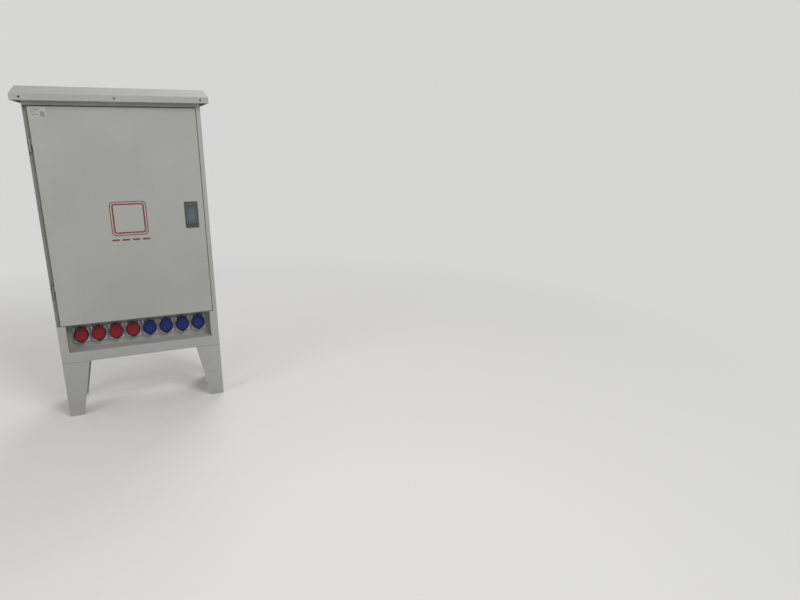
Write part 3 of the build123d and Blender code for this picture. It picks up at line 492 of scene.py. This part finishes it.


# Lids: one deep moulding each, red or blue, with a raised round face, a pointed thumb tab, a skirt
# that laps the socket's collar, and a hooded knuckle that turns on the steel pin. All of it but the
# raised face is painted darker, as shade. A ring in the lid's colour, in the same painted shade, is
# snapped over the foot of each collar.
LID_RADIUS = 0.0360
LID_POINT = 0.0430
POINT_LEAN = radians(34.0)
POINT_REACH = radians(41.8)
POINT_SOFTNESS = radians(2.0)
LID_STEPS = 120
LID_THICK = 0.0080
EDGE_START = 0.0026
EDGE_INSET = 0.0050
KNUCKLE_RADIUS = 0.0040
KNUCKLE_BORE = 0.00155
KNUCKLE_HALF = 0.0100
FACE_REACH = 0.0283
FACE_SET = 0.0012
GRIP_RISE = 0.0006
GRIP_EDGE = 0.0004
RED_LID, BLUE_LID = (120, 13, 30), (10, 30, 98)
# Share of the lid colour for everything off the raised face and for the collar rings: painted shade.
RIM_PAINTED_SHADE = 0.68
COLLAR_LENGTH = 0.0150
# The neck and the hood over the knuckle: half the width, the rounding of the edges and its steps,
# then the back, front, foot and top.
NECK = (0.0096, 0.0012, 2, (-0.0073, 0.0040, 0.0335, 0.0405))
HOOD = (0.0265, 0.0026, 3, (0.0006, 0.0066, 0.0190, 0.0444))
# Each finger grip's height from the lid's middle, and half its width.
GRIPS = ((-0.0305, 0.0085), (-0.0335, 0.0060), (-0.0365, 0.0035))
# The collar ring, and the lid's inner and outer faces, as radius and rise.
RING = (
    (0.0333, 0.0005),
    (0.0366, 0.0005),
    (0.0366, -0.0020),
    (0.0356, -0.0030),
    (0.0352, -0.0080),
    (0.0346, -0.0086),
    (0.0333, -0.0086),
)
INSIDE = (
    (0.0240, 0.0014),
    (0.0246, 0.0000),
    (0.0314, 0.0000),
    (0.0320, 0.0014),
    (0.0342, 0.0014),
    (0.0342, -0.0056),
    (0.0345, -0.0060),
)
FACE = (
    (0.0296, 0.0080),
    (0.0292, 0.0073),
    (0.0286, 0.0073),
    (0.0282, 0.0080),
    (0.0279, 0.0086),
    (0.0271, 0.0090),
    (0.0238, 0.0090),
    (0.0232, 0.0087),
    (0.0226, 0.0085),
)


def lid_edge(turn, inset):
    """How far the lid's edge is from its middle, at a turn from straight down."""
    turn = abs(turn)
    if turn > POINT_REACH:
        return LID_RADIUS - inset
    soft = hypot(turn, POINT_SOFTNESS)
    return (LID_POINT * cos(POINT_LEAN) - inset) / cos(soft - POINT_LEAN)


def lid_shell(bm, x, y, z):
    """One lid, whose inner face is at y and whose middle is at x and z."""
    turns = [2 * pi * i / LID_STEPS - pi for i in range(LID_STEPS)]
    rows = [([radius] * LID_STEPS, rise) for radius, rise in INSIDE]
    edge = [(0.0010, -0.0060), (0.0003, -0.0058), (0.0, -0.0052), (0.0, EDGE_START)]
    swell = LID_THICK - EDGE_START
    for i in range(1, 7):
        bend = i * pi / 12
        edge.append((EDGE_INSET * (1 - cos(bend)), EDGE_START + swell * sin(bend)))
    rows += [([lid_edge(turn, inset) for turn in turns], rise) for inset, rise in edge]
    rows += [([radius] * LID_STEPS, rise) for radius, rise in FACE]
    rings = []
    for reaches, rise in rows:
        ring = [(x + r * sin(t), y - rise, z - r * cos(t)) for r, t in zip(reaches, turns)]
        rings.append([bm.verts.new(point) for point in ring])
    bridge(bm, rings)
    bm.faces.new(rings[0])
    bm.faces.new(rings[-1])


def sleeve(bm, start, end, outer, bore, steps=28):
    """A tube along X from a point to a value of x, with its outer edges broken."""
    broken = (outer - bore) * 0.12
    length = end - start[0]
    turns = [2 * pi * i / steps for i in range(steps)]
    profile = [(bore, 0), (outer - broken, 0), (outer, broken)]
    profile += [(outer, length - broken), (outer - broken, length), (bore, length)]
    rings = []
    for reach, along in profile:
        ring = [(start[0] + along, start[1] + reach * cos(t), start[2] + reach * sin(t)) for t in turns]
        rings.append([bm.verts.new(point) for point in ring])
    bridge(bm, rings + rings[:1])


def hoop(bm, middle, profile, steps=72):
    """A closed loop of (radius, y) pairs, turned about an axis along Y."""
    turns = [2 * pi * i / steps for i in range(steps)]
    rings = []
    for reach, y in profile:
        ring = [(middle[0] + reach * cos(t), y, middle[1] + reach * sin(t)) for t in turns]
        rings.append([bm.verts.new(point) for point in ring])
    bridge(bm, rings + rings[:1])


def brick(bm, low, high, edge, segments=2):
    """A block with its edges rounded over."""
    verts = bmesh.ops.create_cube(bm, size=1.0)["verts"]
    for vert in verts:
        vert.co = Vector([low[i] + (high[i] - low[i]) * (vert.co[i] + 0.5) for i in range(3)])
    edges = list({e for v in verts for e in v.link_edges})
    bmesh.ops.bevel(bm, geom=edges, offset=edge, segments=segments, affect="EDGES", profile=0.5)


for colour, tone in (("red", RED_LID), ("blue", BLUE_LID)):
    plastic = moulded(f"lid {colour}", tone, 0.36, gloss=0.3)
    # The rim plastic is the lid plastic, a little rougher and darkened as painted shade.
    rim_tone_painted_shade = [part * RIM_PAINTED_SHADE for part in tone]
    rim_plastic_painted_shade = moulded(f"lid rim in painted shade {colour}", rim_tone_painted_shade, 0.42, 0.2, gloss=0.3)
    collar_rings = bmesh.new()
    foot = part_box(f"{colour}_sockets")[0].y + COLLAR_LENGTH
    for number in range(1, 5):
        name = f"{colour}_lid_{number}"
        low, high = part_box(name)
        x, y, z = (low.x + high.x) / 2, low.y + LID_THICK + FACE_SET, low.z + LID_POINT
        pin = next(joint["pos_m"] for joint in frame["joints"] if joint["child"] == name)
        bm = bmesh.new()
        lid_shell(bm, x, y, z)
        knuckle = (x - KNUCKLE_HALF, pin[1], pin[2])
        sleeve(bm, knuckle, x + KNUCKLE_HALF, KNUCKLE_RADIUS, KNUCKLE_BORE)
        for half, edge, steps, (near, far, foot_z, top_z) in (NECK, HOOD):
            brick(bm, (x - half, y - far, z + foot_z), (x + half, y - near, z + top_z), edge, steps)
        near, far = y - LID_THICK - GRIP_RISE, y - LID_THICK + 0.001
        for height, half in GRIPS:
            foot_z, top_z = z + height - GRIP_RISE, z + height + GRIP_RISE
            brick(bm, (x - half, near, foot_z), (x + half, far, top_z), GRIP_EDGE)
        # Faces off the raised round face take the darker plastic, which is painted shade.
        for face in bm.faces:
            spot = face.calc_center_median()
            on_face = hypot(spot.x - x, spot.z - z) < FACE_REACH and spot.y < y - LID_THICK * 0.95
            face.material_index = 0 if on_face else 1
        lid = made(f"{name}_moulding", bm, plastic, name)
        lid.data.materials.append(rim_plastic_painted_shade)
        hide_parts(name)
        hoop(collar_rings, (x, z), [(radius, foot + rise) for radius, rise in RING])
    # The collar rings take the lids' darker plastic, the same painted shade.
    made(f"{colour}_collar_rings", collar_rings, rim_plastic_painted_shade, "cabinet")


# Rear rivets: the rear panel is held to the turned edges of the sides by blind rivets with low
# round heads, pulled before the coat went on, so they have its colour.
RIVET_RADIUS = 0.0048
RIVET_RISE = 0.0015
RIVETS_A_SIDE = 9
RIVET_INSET = 0.0105
RIVET_END = 0.06

left_low, left_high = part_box("side_panel_left")
bm = bmesh.new()
profile = [(RIVET_RADIUS, 0.0002), (RIVET_RADIUS, -0.0002)]
for step in range(1, 6):
    bend = step * pi / 11
    profile.append((RIVET_RADIUS * cos(bend), -0.0002 - RIVET_RISE * sin(bend)))
pitch = (left_high.z - left_low.z - 2 * RIVET_END) / (RIVETS_A_SIDE - 1)
for side in (-1, 1):
    x = side * (abs(left_low.x) - RIVET_INSET)
    for i in range(RIVETS_A_SIDE):
        boss(bm, (x, left_low.z + RIVET_END + i * pitch), left_high.y, profile, 18)
made("rear_rivets", bm, body_coat, "cabinet")


# Branch breakers: a row of poles, each a cream moulding clipped to the rail, with a raised nose
# and a pocket for the toggle. A clamp screw sits deep in each shoulder, over and under the nose, on a
# dark disc that is a painted shade of its well.
BREAKER_WHITE = (222, 222, 217)
WINDOW_GREEN = (34, 120, 66)
SLOT_PAINTED_SHADE = (16, 16, 17)
# Near-black for screw slots and clamp wells: painted shade.
TOGGLE_BLACK = (30, 31, 33)
UNITS = 4
NOSE_DEPTH = 0.022
NOSE_HALF = 0.0225
NOSE_CHAMFER = 0.0028
POLE_WIDTH = 0.018
POLE_GAP = 0.00025
CHEEK = 0.006
POCKET_SINK = 0.005
POCKET_RADIUS = 0.009
RAIL_HALF = 0.0175
CLAW = 0.0035
SHOULDER_SCREW = 0.0325
SCREW_WELL = 0.0042
SCREW_HEAD = (0.0031, 0.0003)
WINDOW = (0.0050, 0.0030, 0.0005)
WINDOW_DROP = 0.0165
CASE_EDGE = 0.0005


def along_x(bm, start, end, outline):
    """A solid with an outline in y and z, drawn out between two values of x."""
    near = [bm.verts.new((start, y, z)) for y, z in outline]
    far = [bm.verts.new((end, y, z)) for y, z in outline]
    for i in range(len(outline)):
        j = (i + 1) % len(outline)
        bm.faces.new((near[i], near[j], far[j], far[i]))
    bm.faces.new(near)
    bm.faces.new(far)


def slotted(heads, slots, middle, y, reach, rise, turn):
    """A pan head on a face that looks along -Y, and a thin dark cross on it at its own turn: painted
    shade standing for the cut.
    """
    profile = ((reach, -0.0003), (reach, rise * 0.5), (reach * 0.86, rise), (reach * 0.2, rise * 1.05))
    boss(heads, middle, y, profile, 20)
    for lean in (turn, turn + pi / 2):
        outline = []
        for x, z in rounded((0, 0), reach * 1.45, reach * 0.26, reach * 0.05, 1):
            along, up = x * cos(lean) - z * sin(lean), x * sin(lean) + z * cos(lean)
            outline.append((middle[0] + along, middle[1] + up))
        slab(slots, outline, y - rise * 1.14, y - rise)


breaker_white = moulded("breaker white", BREAKER_WHITE, 0.4)
window_green = moulded("window green", WINDOW_GREEN, 0.3)
slot_painted_shade = moulded("screw slot and well painted shade", SLOT_PAINTED_SHADE, 0.6)
screw_heads, screw_slots, well_shade_discs, windows = bmesh.new(), bmesh.new(), bmesh.new(), bmesh.new()
# A thin dark disc under each clamp screw: painted shade of the screw's well.
well = ((SCREW_WELL, -0.0002), (SCREW_WELL, 0.00025))
for node, poles in (("red_breakers", 4), ("blue_breakers", 2)):
    low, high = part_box(node)
    front, body, back = low.y, low.y + NOSE_DEPTH, high.y
    row = (low.z + high.z) / 2
    tall = (high.z - low.z) / 2
    turn = acos(-POCKET_SINK / POCKET_RADIUS)
    pocket = []
    for step in range(17):
        bend = turn - 2 * turn * step / 16
        pocket.append((front + POCKET_SINK + POCKET_RADIUS * cos(bend), row + POCKET_RADIUS * sin(bend)))
    shoulder = NOSE_HALF - NOSE_CHAMFER
    top = [(body, row + NOSE_HALF), (front + NOSE_CHAMFER, row + NOSE_HALF), (front, row + shoulder)]
    foot = [(front, row - shoulder), (front + NOSE_CHAMFER, row - NOSE_HALF), (body, row - NOSE_HALF)]
    case = [(body, row - tall), (back, row - tall), (back, row - RAIL_HALF)]
    case += [(back - CLAW, row - RAIL_HALF), (back - CLAW, row + RAIL_HALF)]
    case += [(back, row + RAIL_HALF), (back, row + tall), (body, row + tall)]
    half = poles * POLE_WIDTH / 2
    pitch = (high.x - low.x - 2 * half) / (UNITS - 1)
    bm = bmesh.new()
    for unit in range(UNITS):
        middle = low.x + half + unit * pitch
        for pole in range(poles):
            start = middle - half + pole * POLE_WIDTH
            along_x(bm, start + POLE_GAP, start + POLE_WIDTH - POLE_GAP, case)
            x = start + POLE_WIDTH / 2
            for side in (-1, 1):
                spot, lean = (x, row + side * SHOULDER_SCREW), x * 97 + side
                boss(well_shade_discs, spot, body, well, 20)
                slotted(screw_heads, screw_slots, spot, body - 0.0002, *SCREW_HEAD, lean)
            window = rounded((x, row - WINDOW_DROP), *WINDOW, 2)
            slab(windows, window, front - 0.00015, front + 0.0001)
            first = start + (CHEEK if pole == 0 else POLE_GAP)
            last = start + POLE_WIDTH - (CHEEK if pole == poles - 1 else POLE_GAP)
            along_x(bm, first, last, top + pocket + foot)
        along_x(bm, middle - half + POLE_GAP, middle - half + CHEEK, top + foot)
        along_x(bm, middle + half - CHEEK, middle + half - POLE_GAP, top + foot)
    piece = made(f"{node}_mouldings", bm, breaker_white, "cabinet", 30)
    edge = piece.modifiers.new("rounded edges", "BEVEL")
    edge.width = CASE_EDGE
    edge.segments = 2
    edge.angle_limit = radians(40)
    edge.limit_method = "ANGLE"
    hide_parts(node)
# The clamp wells are flat dark discs, painted shade.
made("breaker_clamp_wells_painted_shade", well_shade_discs, slot_painted_shade, "cabinet")
made("breaker_windows", windows, window_green, "cabinet")

toggle_black = moulded("toggle black", TOGGLE_BLACK, 0.35)
for colour in ("red", "blue"):
    for number in range(1, UNITS + 1):
        softened(f"{colour}_toggle_{number}", 0.0008, toggle_black)


# Main breaker: a black moulded case screwed to the plate, with a nose across its middle, cover
# screws at its corners, a trip button, and a clamp screw in each of its eight terminals.
MAIN_BLACK = (44, 45, 47)
TRIP_RED = (168, 30, 28)
MAIN_NOSE = 0.012
MAIN_WELL = 0.0062
MAIN_WELL_INSET = 0.017
MAIN_HEAD = (0.0048, 0.0006)
COVER_SCREWS = (0.060, 0.040)
COVER_HEAD = (0.0030, 0.0010)
LEVER_FRAME = (0.040, 0.062, 0.004)
LEVER_OPENING = (0.033, 0.055, 0.003)
TRIP_BUTTON = (0.034, -0.026)

main_black = moulded("main breaker black", MAIN_BLACK, 0.45)
trip_red = moulded("trip button red", TRIP_RED, 0.35)
softened("main_breaker", 0.0014, main_black)
softened("main_lever", 0.0012, toggle_black)
low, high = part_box("main_breaker")
middle, nose, case = (low.z + high.z) / 2, low.y, low.y + MAIN_NOSE
trims, buttons = bmesh.new(), bmesh.new()
rim = MAIN_WELL + 0.0012
funnel = ((rim, -0.0002), (rim, 0.0009), (MAIN_WELL, 0.0009), (MAIN_WELL, 0.0001))
for i in range(4):
    x = (i - 1.5) * (high.x - low.x) / 4
    for side in (-1, 1):
        spot = (x, middle + side * ((high.z - low.z) / 2 - MAIN_WELL_INSET))
        boss(trims, spot, case, funnel, 28)
        slotted(screw_heads, screw_slots, spot, case - 0.0002, *MAIN_HEAD, x * 61 + side)
for sx in (-1, 1):
    for sz in (-1, 1):
        spot = (sx * COVER_SCREWS[0], middle + sz * COVER_SCREWS[1])
        slotted(screw_heads, screw_slots, spot, nose, *COVER_HEAD, sx + 0.4 * sz)
outer, inner = rounded((0, middle), *LEVER_FRAME), rounded((0, middle), *LEVER_OPENING)
slab(trims, outer, nose - 0.0012, nose + 0.0002, inner)
spot = (TRIP_BUTTON[0], middle + TRIP_BUTTON[1])
button = ((0.0040, -0.0002), (0.0040, 0.0012), (0.0034, 0.0016), (0.0010, 0.0017))
boss(buttons, spot, nose, button, 24)
made("main_breaker_trims", trims, main_black, "cabinet")
made("main_breaker_trip_button", buttons, trip_red, "cabinet")


# Copper bars on red insulators. Each level bar is bolted to the drop from its own pole, and
# wears a shrunk sleeve in the colour of its phase between the joints.
COPPER = (190, 116, 82)
INSULATOR_RED = (128, 52, 40)
PHASE_COLOURS = {
    "yellow": (206, 166, 30),
    "green": (28, 112, 58),
    "red": (166, 30, 32),
    "blue": (54, 104, 168),
}
SLEEVE_PAST = 0.0007
SLEEVE_GAPS = 0.0165
SLEEVE_EDGE = 0.0010
SLEEVE_START, SLEEVE_END = -0.146, 0.016
SHORTEST_SLEEVE = 0.008
INSULATOR_SIDES = (-0.126, -0.094, 0.094, 0.126)
BAR_ENDS = (0.210, 0.190, 0.170, 0.150)
BAR_LEVELS = (1.2675, 1.2425, 1.2175, 1.1925)
POLES = (-0.0525, -0.0175, 0.0175, 0.0525)
BAR_FRONT, BAR_BACK, DROP_FRONT = 0.100, 0.104, 0.092
BAR_HALF = 0.0075
HEX_RADIUS = 0.0058

copper = plated("copper", COPPER, 0.34, 25.0)
insulator_red = moulded("insulator red", INSULATOR_RED, 0.5, 0.2)
coat(copper, "busbars")
softened("busbar_supports", 0.0010, insulator_red)
wire_plastics = {}
for name, colour in PHASE_COLOURS.items():
    wire_plastics[name] = moulded(f"wire {name}", colour, 0.38, 0.05)
bolts = bmesh.new()
washer = ((0.0068, -0.0001), (0.0068, 0.0011), (0.0062, 0.0014), (HEX_RADIUS, 0.0014))
hexagon = ((HEX_RADIUS, 0), (HEX_RADIUS, 0.0036), (HEX_RADIUS * 0.86, 0.0042))
for colour, level, end, pole in zip(PHASE_COLOURS, BAR_LEVELS, BAR_ENDS, POLES):
    bm = bmesh.new()
    stops = sorted((*INSULATOR_SIDES, pole - SLEEVE_GAPS, pole + SLEEVE_GAPS))
    starts, stops = [SLEEVE_START] + stops[1::2], stops[::2] + [end - SLEEVE_END]
    for start, stop in zip(starts, stops):
        if stop - start > SHORTEST_SLEEVE:
            low = (start, BAR_FRONT - SLEEVE_PAST, level - BAR_HALF - SLEEVE_PAST)
            high = (stop, BAR_BACK + SLEEVE_PAST * 0.6, level + BAR_HALF + SLEEVE_PAST)
            brick(bm, low, high, SLEEVE_EDGE)
    made(f"bar_sleeves_{colour}", bm, wire_plastics[colour], "cabinet")
    boss(bolts, (pole, level), DROP_FRONT, washer, 28)
    boss(bolts, (pole, level), DROP_FRONT - 0.0013, hexagon, 6)
made("bar_bolts", bolts, zinc, "cabinet")


# Wiring ducts: grey slotted trunking glued and riveted to the plate, each with a smooth cover
# that snaps over its front edges and laps them by a few millimetres.
DUCT_GREY = (168, 172, 173)
DUCT_LEVELS = (1.520, 1.160, 0.965, 0.760)
DUCT_HALF = 0.020
COVER_REACH = 0.2888
COVER_LAP = 0.0065
COVER_WALL = 0.0011
COVER_EDGE = 0.0012
COVER_END = 0.0005

duct_grey = moulded("duct grey", DUCT_GREY, 0.5)
coat(duct_grey, "wiring_ducts")
low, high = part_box("wiring_ducts")
covers = bmesh.new()
for level in DUCT_LEVELS:
    near = (-COVER_REACH, low.y - COVER_WALL, level - DUCT_HALF - COVER_WALL)
    far = (COVER_REACH, low.y + COVER_LAP, level + DUCT_HALF + COVER_WALL)
    brick(covers, near, far, COVER_EDGE)
for side in (-1, 1):
    x = side * (high.x - DUCT_HALF)
    near = (x - DUCT_HALF - COVER_WALL * 0.4, low.y - COVER_WALL, low.z + COVER_END)
    far = (x + DUCT_HALF + COVER_WALL, low.y + COVER_LAP, high.z - COVER_END)
    brick(covers, near, far, COVER_EDGE)
made("duct_covers", covers, duct_grey, "cabinet")


# Terminal bars: brass with a slotted clamp screw over each wire. Blue wires leave the neutral bar
# on the left, and green-and-yellow ones leave the earth bar on the right.
TERMINAL_COUNT = 8
TERMINAL_PITCH = 0.025
TERMINAL_MIDDLES = (-0.140, 0.140)
CLAMP_HEAD = (0.0034, 0.0016)

low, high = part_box("terminal_bars")
terminal_level = (low.z + high.z) / 2
terminal_x = []
for middle in TERMINAL_MIDDLES:
    first = middle - (TERMINAL_COUNT - 1) / 2 * TERMINAL_PITCH
    terminal_x.append([first + i * TERMINAL_PITCH for i in range(TERMINAL_COUNT)])
for x in terminal_x[0] + terminal_x[1]:
    slotted(screw_heads, screw_slots, (x, terminal_level), low.y, *CLAMP_HEAD, x * 53)
# The crosses on the screw heads are thin dark sheets: painted shade of the cuts.
made("clamp_screw_heads", screw_heads, zinc, "cabinet")
made("clamp_screw_slots", screw_slots, slot_painted_shade, "cabinet")


# Leads: single wires in phase colours between the breakers, the bars and the ducts. They are
# stripped and clamped at the terminals, where a short ferrule collar shows.
WIRE_RADIUS = 0.0026
SUPPLY_RADIUS = 0.0050
BREAKER_ENTRY = 0.022
TERMINAL_ENTRY = 0.004
FERRULE = 0.006
FERRULE_RADIUS = WIRE_RADIUS * 1.12
STRIPE_TURNS = (90.0, 160.0)

runs = {name: [] for name in wire_plastics}
thick_runs = {name: [] for name in wire_plastics}
names = list(wire_plastics)
collars = []
for node, poles, over, under in (("red_breakers", 4, 1, 2), ("blue_breakers", 2, 2, 3)):
    low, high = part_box(node)
    half = poles * POLE_WIDTH / 2
    pitch = (high.x - low.x - 2 * half) / (UNITS - 1)
    y = high.y - CLAW - BREAKER_ENTRY
    for unit in range(UNITS):
        for pole in range(poles):
            x = low.x + half + unit * pitch + (pole - (poles - 1) / 2) * POLE_WIDTH
            name = names[pole] if poles == 4 else (names[unit % 3], "blue")[pole]
            runs[name].append([(x, y, high.z), (x, y, DUCT_LEVELS[over] - DUCT_HALF)])
            runs[name].append([(x, y, DUCT_LEVELS[under] + DUCT_HALF), (x, y, low.z)])
            collars.append([(x, y, high.z), (x, y, high.z + FERRULE)])
            collars.append([(x, y, low.z), (x, y, low.z - FERRULE)])
low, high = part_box("main_breaker")
for name, x, end, level in zip(names, POLES, BAR_ENDS, BAR_LEVELS):
    y = (low.y + MAIN_NOSE + high.y) / 2
    thick_runs[name].append([(x, y, high.z), (x, y, DUCT_LEVELS[0] - DUCT_HALF)])
    x, y = end - SUPPLY_RADIUS, (BAR_FRONT + BAR_BACK) / 2
    thick_runs[name].append([(x, y, DUCT_LEVELS[1] + DUCT_HALF), (x, y, level - BAR_HALF)])
low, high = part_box("terminal_bars")
y = low.y + TERMINAL_ENTRY
for x in terminal_x[0]:
    runs["blue"].append([(x, y, high.z), (x, y, DUCT_LEVELS[3] - DUCT_HALF)])
earths = [[(x, y, high.z), (x, y, DUCT_LEVELS[3] - DUCT_HALF)] for x in terminal_x[1]]
for name in names:
    plastic, thick = wire_plastics[name], thick_runs[name]
    piece = curve_piece(f"leads_{name}", runs[name], WIRE_RADIUS, plastic, "cabinet")
    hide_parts("internal_wiring")
    curve_piece(f"supply_leads_{name}", thick, SUPPLY_RADIUS, plastic, "cabinet")
material, tree, shader = finish("earth wire", 0.38)
point = wire(tree, "SeparateXYZ", {"Vector": place(tree)}).outputs
climb = combine(tree, "MULTIPLY", point["Z"], STRIPE_TURNS[0])
spiral = combine(tree, "ADD", climb, combine(tree, "MULTIPLY", point["X"], STRIPE_TURNS[1]))
stripe = fade(tree, combine(tree, "PINGPONG", spiral, 0.5), 0.22, 0.28)
green, yellow = tint(*PHASE_COLOURS["green"]), tint(*PHASE_COLOURS["yellow"])
tree.links.new(blend(tree, stripe, green, yellow), shader.inputs["Base Color"])
curve_piece("leads_earth", earths, WIRE_RADIUS, material, "cabinet")
curve_piece("lead_ferrules", collars, FERRULE_RADIUS, duct_grey, "cabinet")


# Looms: a ribbed black conduit carries the wires of each socket from the back of its housing, in
# one wide bend, up to the ducts.
CONDUIT_BLACK = (30, 30, 31)
LOOM_SIDES = 14
LOOM_RADIUS = 0.0070
LOOM_BEND = 0.045
LOOM_BACK = 0.090
RIB_PITCH = 0.0040
RIB_DEPTH = 0.0007

conduit_black = moulded("conduit black", CONDUIT_BLACK, 0.5, 0.1, 900.0)
side = Vector((1, 0, 0))
turns = [2 * pi * k / LOOM_SIDES for k in range(LOOM_SIDES)]
bm = bmesh.new()
sockets = [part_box(f"{colour}_lid_{number}") for colour in ("red", "blue") for number in range(1, 5)]
housing_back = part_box("red_sockets")[1].y
duct_low, duct_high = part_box("wiring_ducts")
for low, high in sockets:
    x, z = (low.x + high.x) / 2, low.z + LID_POINT
    top = duct_low.z if abs(x) > duct_high.x - 2.5 * DUCT_HALF else DUCT_LEVELS[3] - DUCT_HALF
    path_points, along = [], housing_back
    while along < LOOM_BACK - LOOM_BEND:
        path_points.append(((x, along, z), (0, 1, 0)))
        along += RIB_PITCH / 2
    steps = int(LOOM_BEND * pi / RIB_PITCH)
    for step in range(steps + 1):
        bend = step / steps * pi / 2
        y = LOOM_BACK - LOOM_BEND + LOOM_BEND * sin(bend)
        path_points.append(((x, y, z + LOOM_BEND * (1 - cos(bend))), (0, cos(bend), sin(bend))))
    along = z + LOOM_BEND + RIB_PITCH / 2
    while along < top:
        path_points.append(((x, LOOM_BACK, along), (0, 0, 1)))
        along += RIB_PITCH / 2
    rings = []
    for i, (point, ahead) in enumerate(path_points):
        up = Vector(ahead).cross(side)
        reach = LOOM_RADIUS - (RIB_DEPTH if i % 2 else 0)
        ring = [Vector(point) + reach * (cos(t) * side + sin(t) * up) for t in turns]
        rings.append([bm.verts.new(spot) for spot in ring])
    bridge(bm, rings)
    bm.faces.new(rings[0])
    bm.faces.new(rings[-1])
made("socket_looms", bm, conduit_black, "cabinet", 60)


# Studio: a pale floor under an even white sky. Far from the cabinet the floor fades into the
# background, so no horizon shows. Three soft boxes stand in front, on the left and behind.
FLOOR = (213, 212, 209)
FLOOR_GLOSS = 0.2
BACKGROUND = (214, 214, 213)
SKY_LIGHT = 0.50
FLOOR_SIZE = 80.0
FADE_START, FADE_END = 1.3, 4.2


def seen_rays(tree):
    """1 for the rays that show the background: straight, mirrored and through glass."""
    rays = wire(tree, "LightPath", {}).outputs
    straight_or_mirrored = combine(tree, "MAXIMUM", rays["Is Camera Ray"], rays["Is Glossy Ray"])
    return combine(tree, "MAXIMUM", straight_or_mirrored, rays["Is Transmission Ray"])


mesh = bpy.data.meshes.new("studio_floor")
half = FLOOR_SIZE / 2
corners = [(-half, -half, 0), (half, -half, 0), (half, half, 0), (-half, half, 0)]
mesh.from_pydata(corners, [], [(0, 1, 2, 3)])
floor = bpy.data.objects.new("studio_floor", mesh)
bpy.context.scene.collection.objects.link(floor)

material, tree, shader = finish("studio floor", 0.8)
shader.inputs["Base Color"].default_value = tint(*FLOOR)
shader.inputs["Specular IOR Level"].default_value = FLOOR_GLOSS
reach = wire(tree, "VectorMath", {0: place(tree)}, operation="LENGTH").outputs["Value"]
far = combine(tree, "MULTIPLY", fade(tree, reach, FADE_START, FADE_END), seen_rays(tree))
glow = wire(tree, "Emission", {"Color": tint(*BACKGROUND)}).outputs[0]
both = wire(tree, "MixShader", {0: far, 1: shader.outputs[0], 2: glow}).outputs[0]
tree.links.new(both, tree.nodes["Material Output"].inputs["Surface"])
mesh.materials.append(material)

world = bpy.data.worlds.new("studio")
bpy.context.scene.world = world
world.use_nodes = True
tree = world.node_tree
sky = {"Color": tint(255, 255, 255), "Strength": SKY_LIGHT}
light = wire(tree, "Background", sky).outputs[0]
seen = wire(tree, "Background", {"Color": tint(*BACKGROUND), "Strength": 1.0}).outputs[0]
both = wire(tree, "MixShader", {0: seen_rays(tree), 1: light, 2: seen}).outputs[0]
tree.links.new(both, tree.nodes["World Output"].inputs["Surface"])


def lamp(name, spot, aim, size, watts):
    """A square soft box at a spot, turned to a point."""
    data = bpy.data.lights.new(name, "AREA")
    data.shape = "SQUARE"
    data.size = size
    data.energy = watts
    box = bpy.data.objects.new(name, data)
    box.location = spot
    box.rotation_euler = (Vector(aim) - Vector(spot)).to_track_quat("-Z", "Y").to_euler()
    bpy.context.scene.collection.objects.link(box)


lamp("soft_box_front", (2.0, -4.2, 4.4), (0, 0, 0.9), 2.2, 150)
lamp("soft_box_left", (-3.8, -2.6, 2.6), (0, 0, 0.9), 2.4, 55)
lamp("soft_box_back", (1.6, 3.2, 5.0), (0, 0, 1.0), 2.4, 90)


# Camera: a phone held at head height in front of the cabinet, turned to its right and tipped
# down. Its place, aim and lens were fitted to the cabinet's corners in the photograph.
CAMERA_SPOT = (0.0547, -3.5817, 1.4643)
HEADING, PITCH, ROLL = radians(23.3), radians(-15.38), radians(-0.03)
FOCAL_PIXELS = 603.7
FRAME_PIXELS = 800.0

ahead = Vector((sin(HEADING) * cos(PITCH), cos(HEADING) * cos(PITCH), sin(PITCH)))
level = Vector((cos(HEADING), -sin(HEADING), 0))
upright = level.cross(ahead)
across = cos(ROLL) * level + sin(ROLL) * upright
upward = cos(ROLL) * upright - sin(ROLL) * level
data = bpy.data.cameras.new("camera")
data.sensor_width = 36.0
data.lens = data.sensor_width * FOCAL_PIXELS / FRAME_PIXELS
camera = bpy.data.objects.new("camera", data)
turn = Matrix((across, upward, -ahead)).transposed().to_4x4()
camera.matrix_world = Matrix.Translation(CAMERA_SPOT) @ turn
bpy.context.scene.collection.objects.link(camera)
bpy.context.scene.camera = camera
bpy.context.scene.view_settings.view_transform = "Standard"
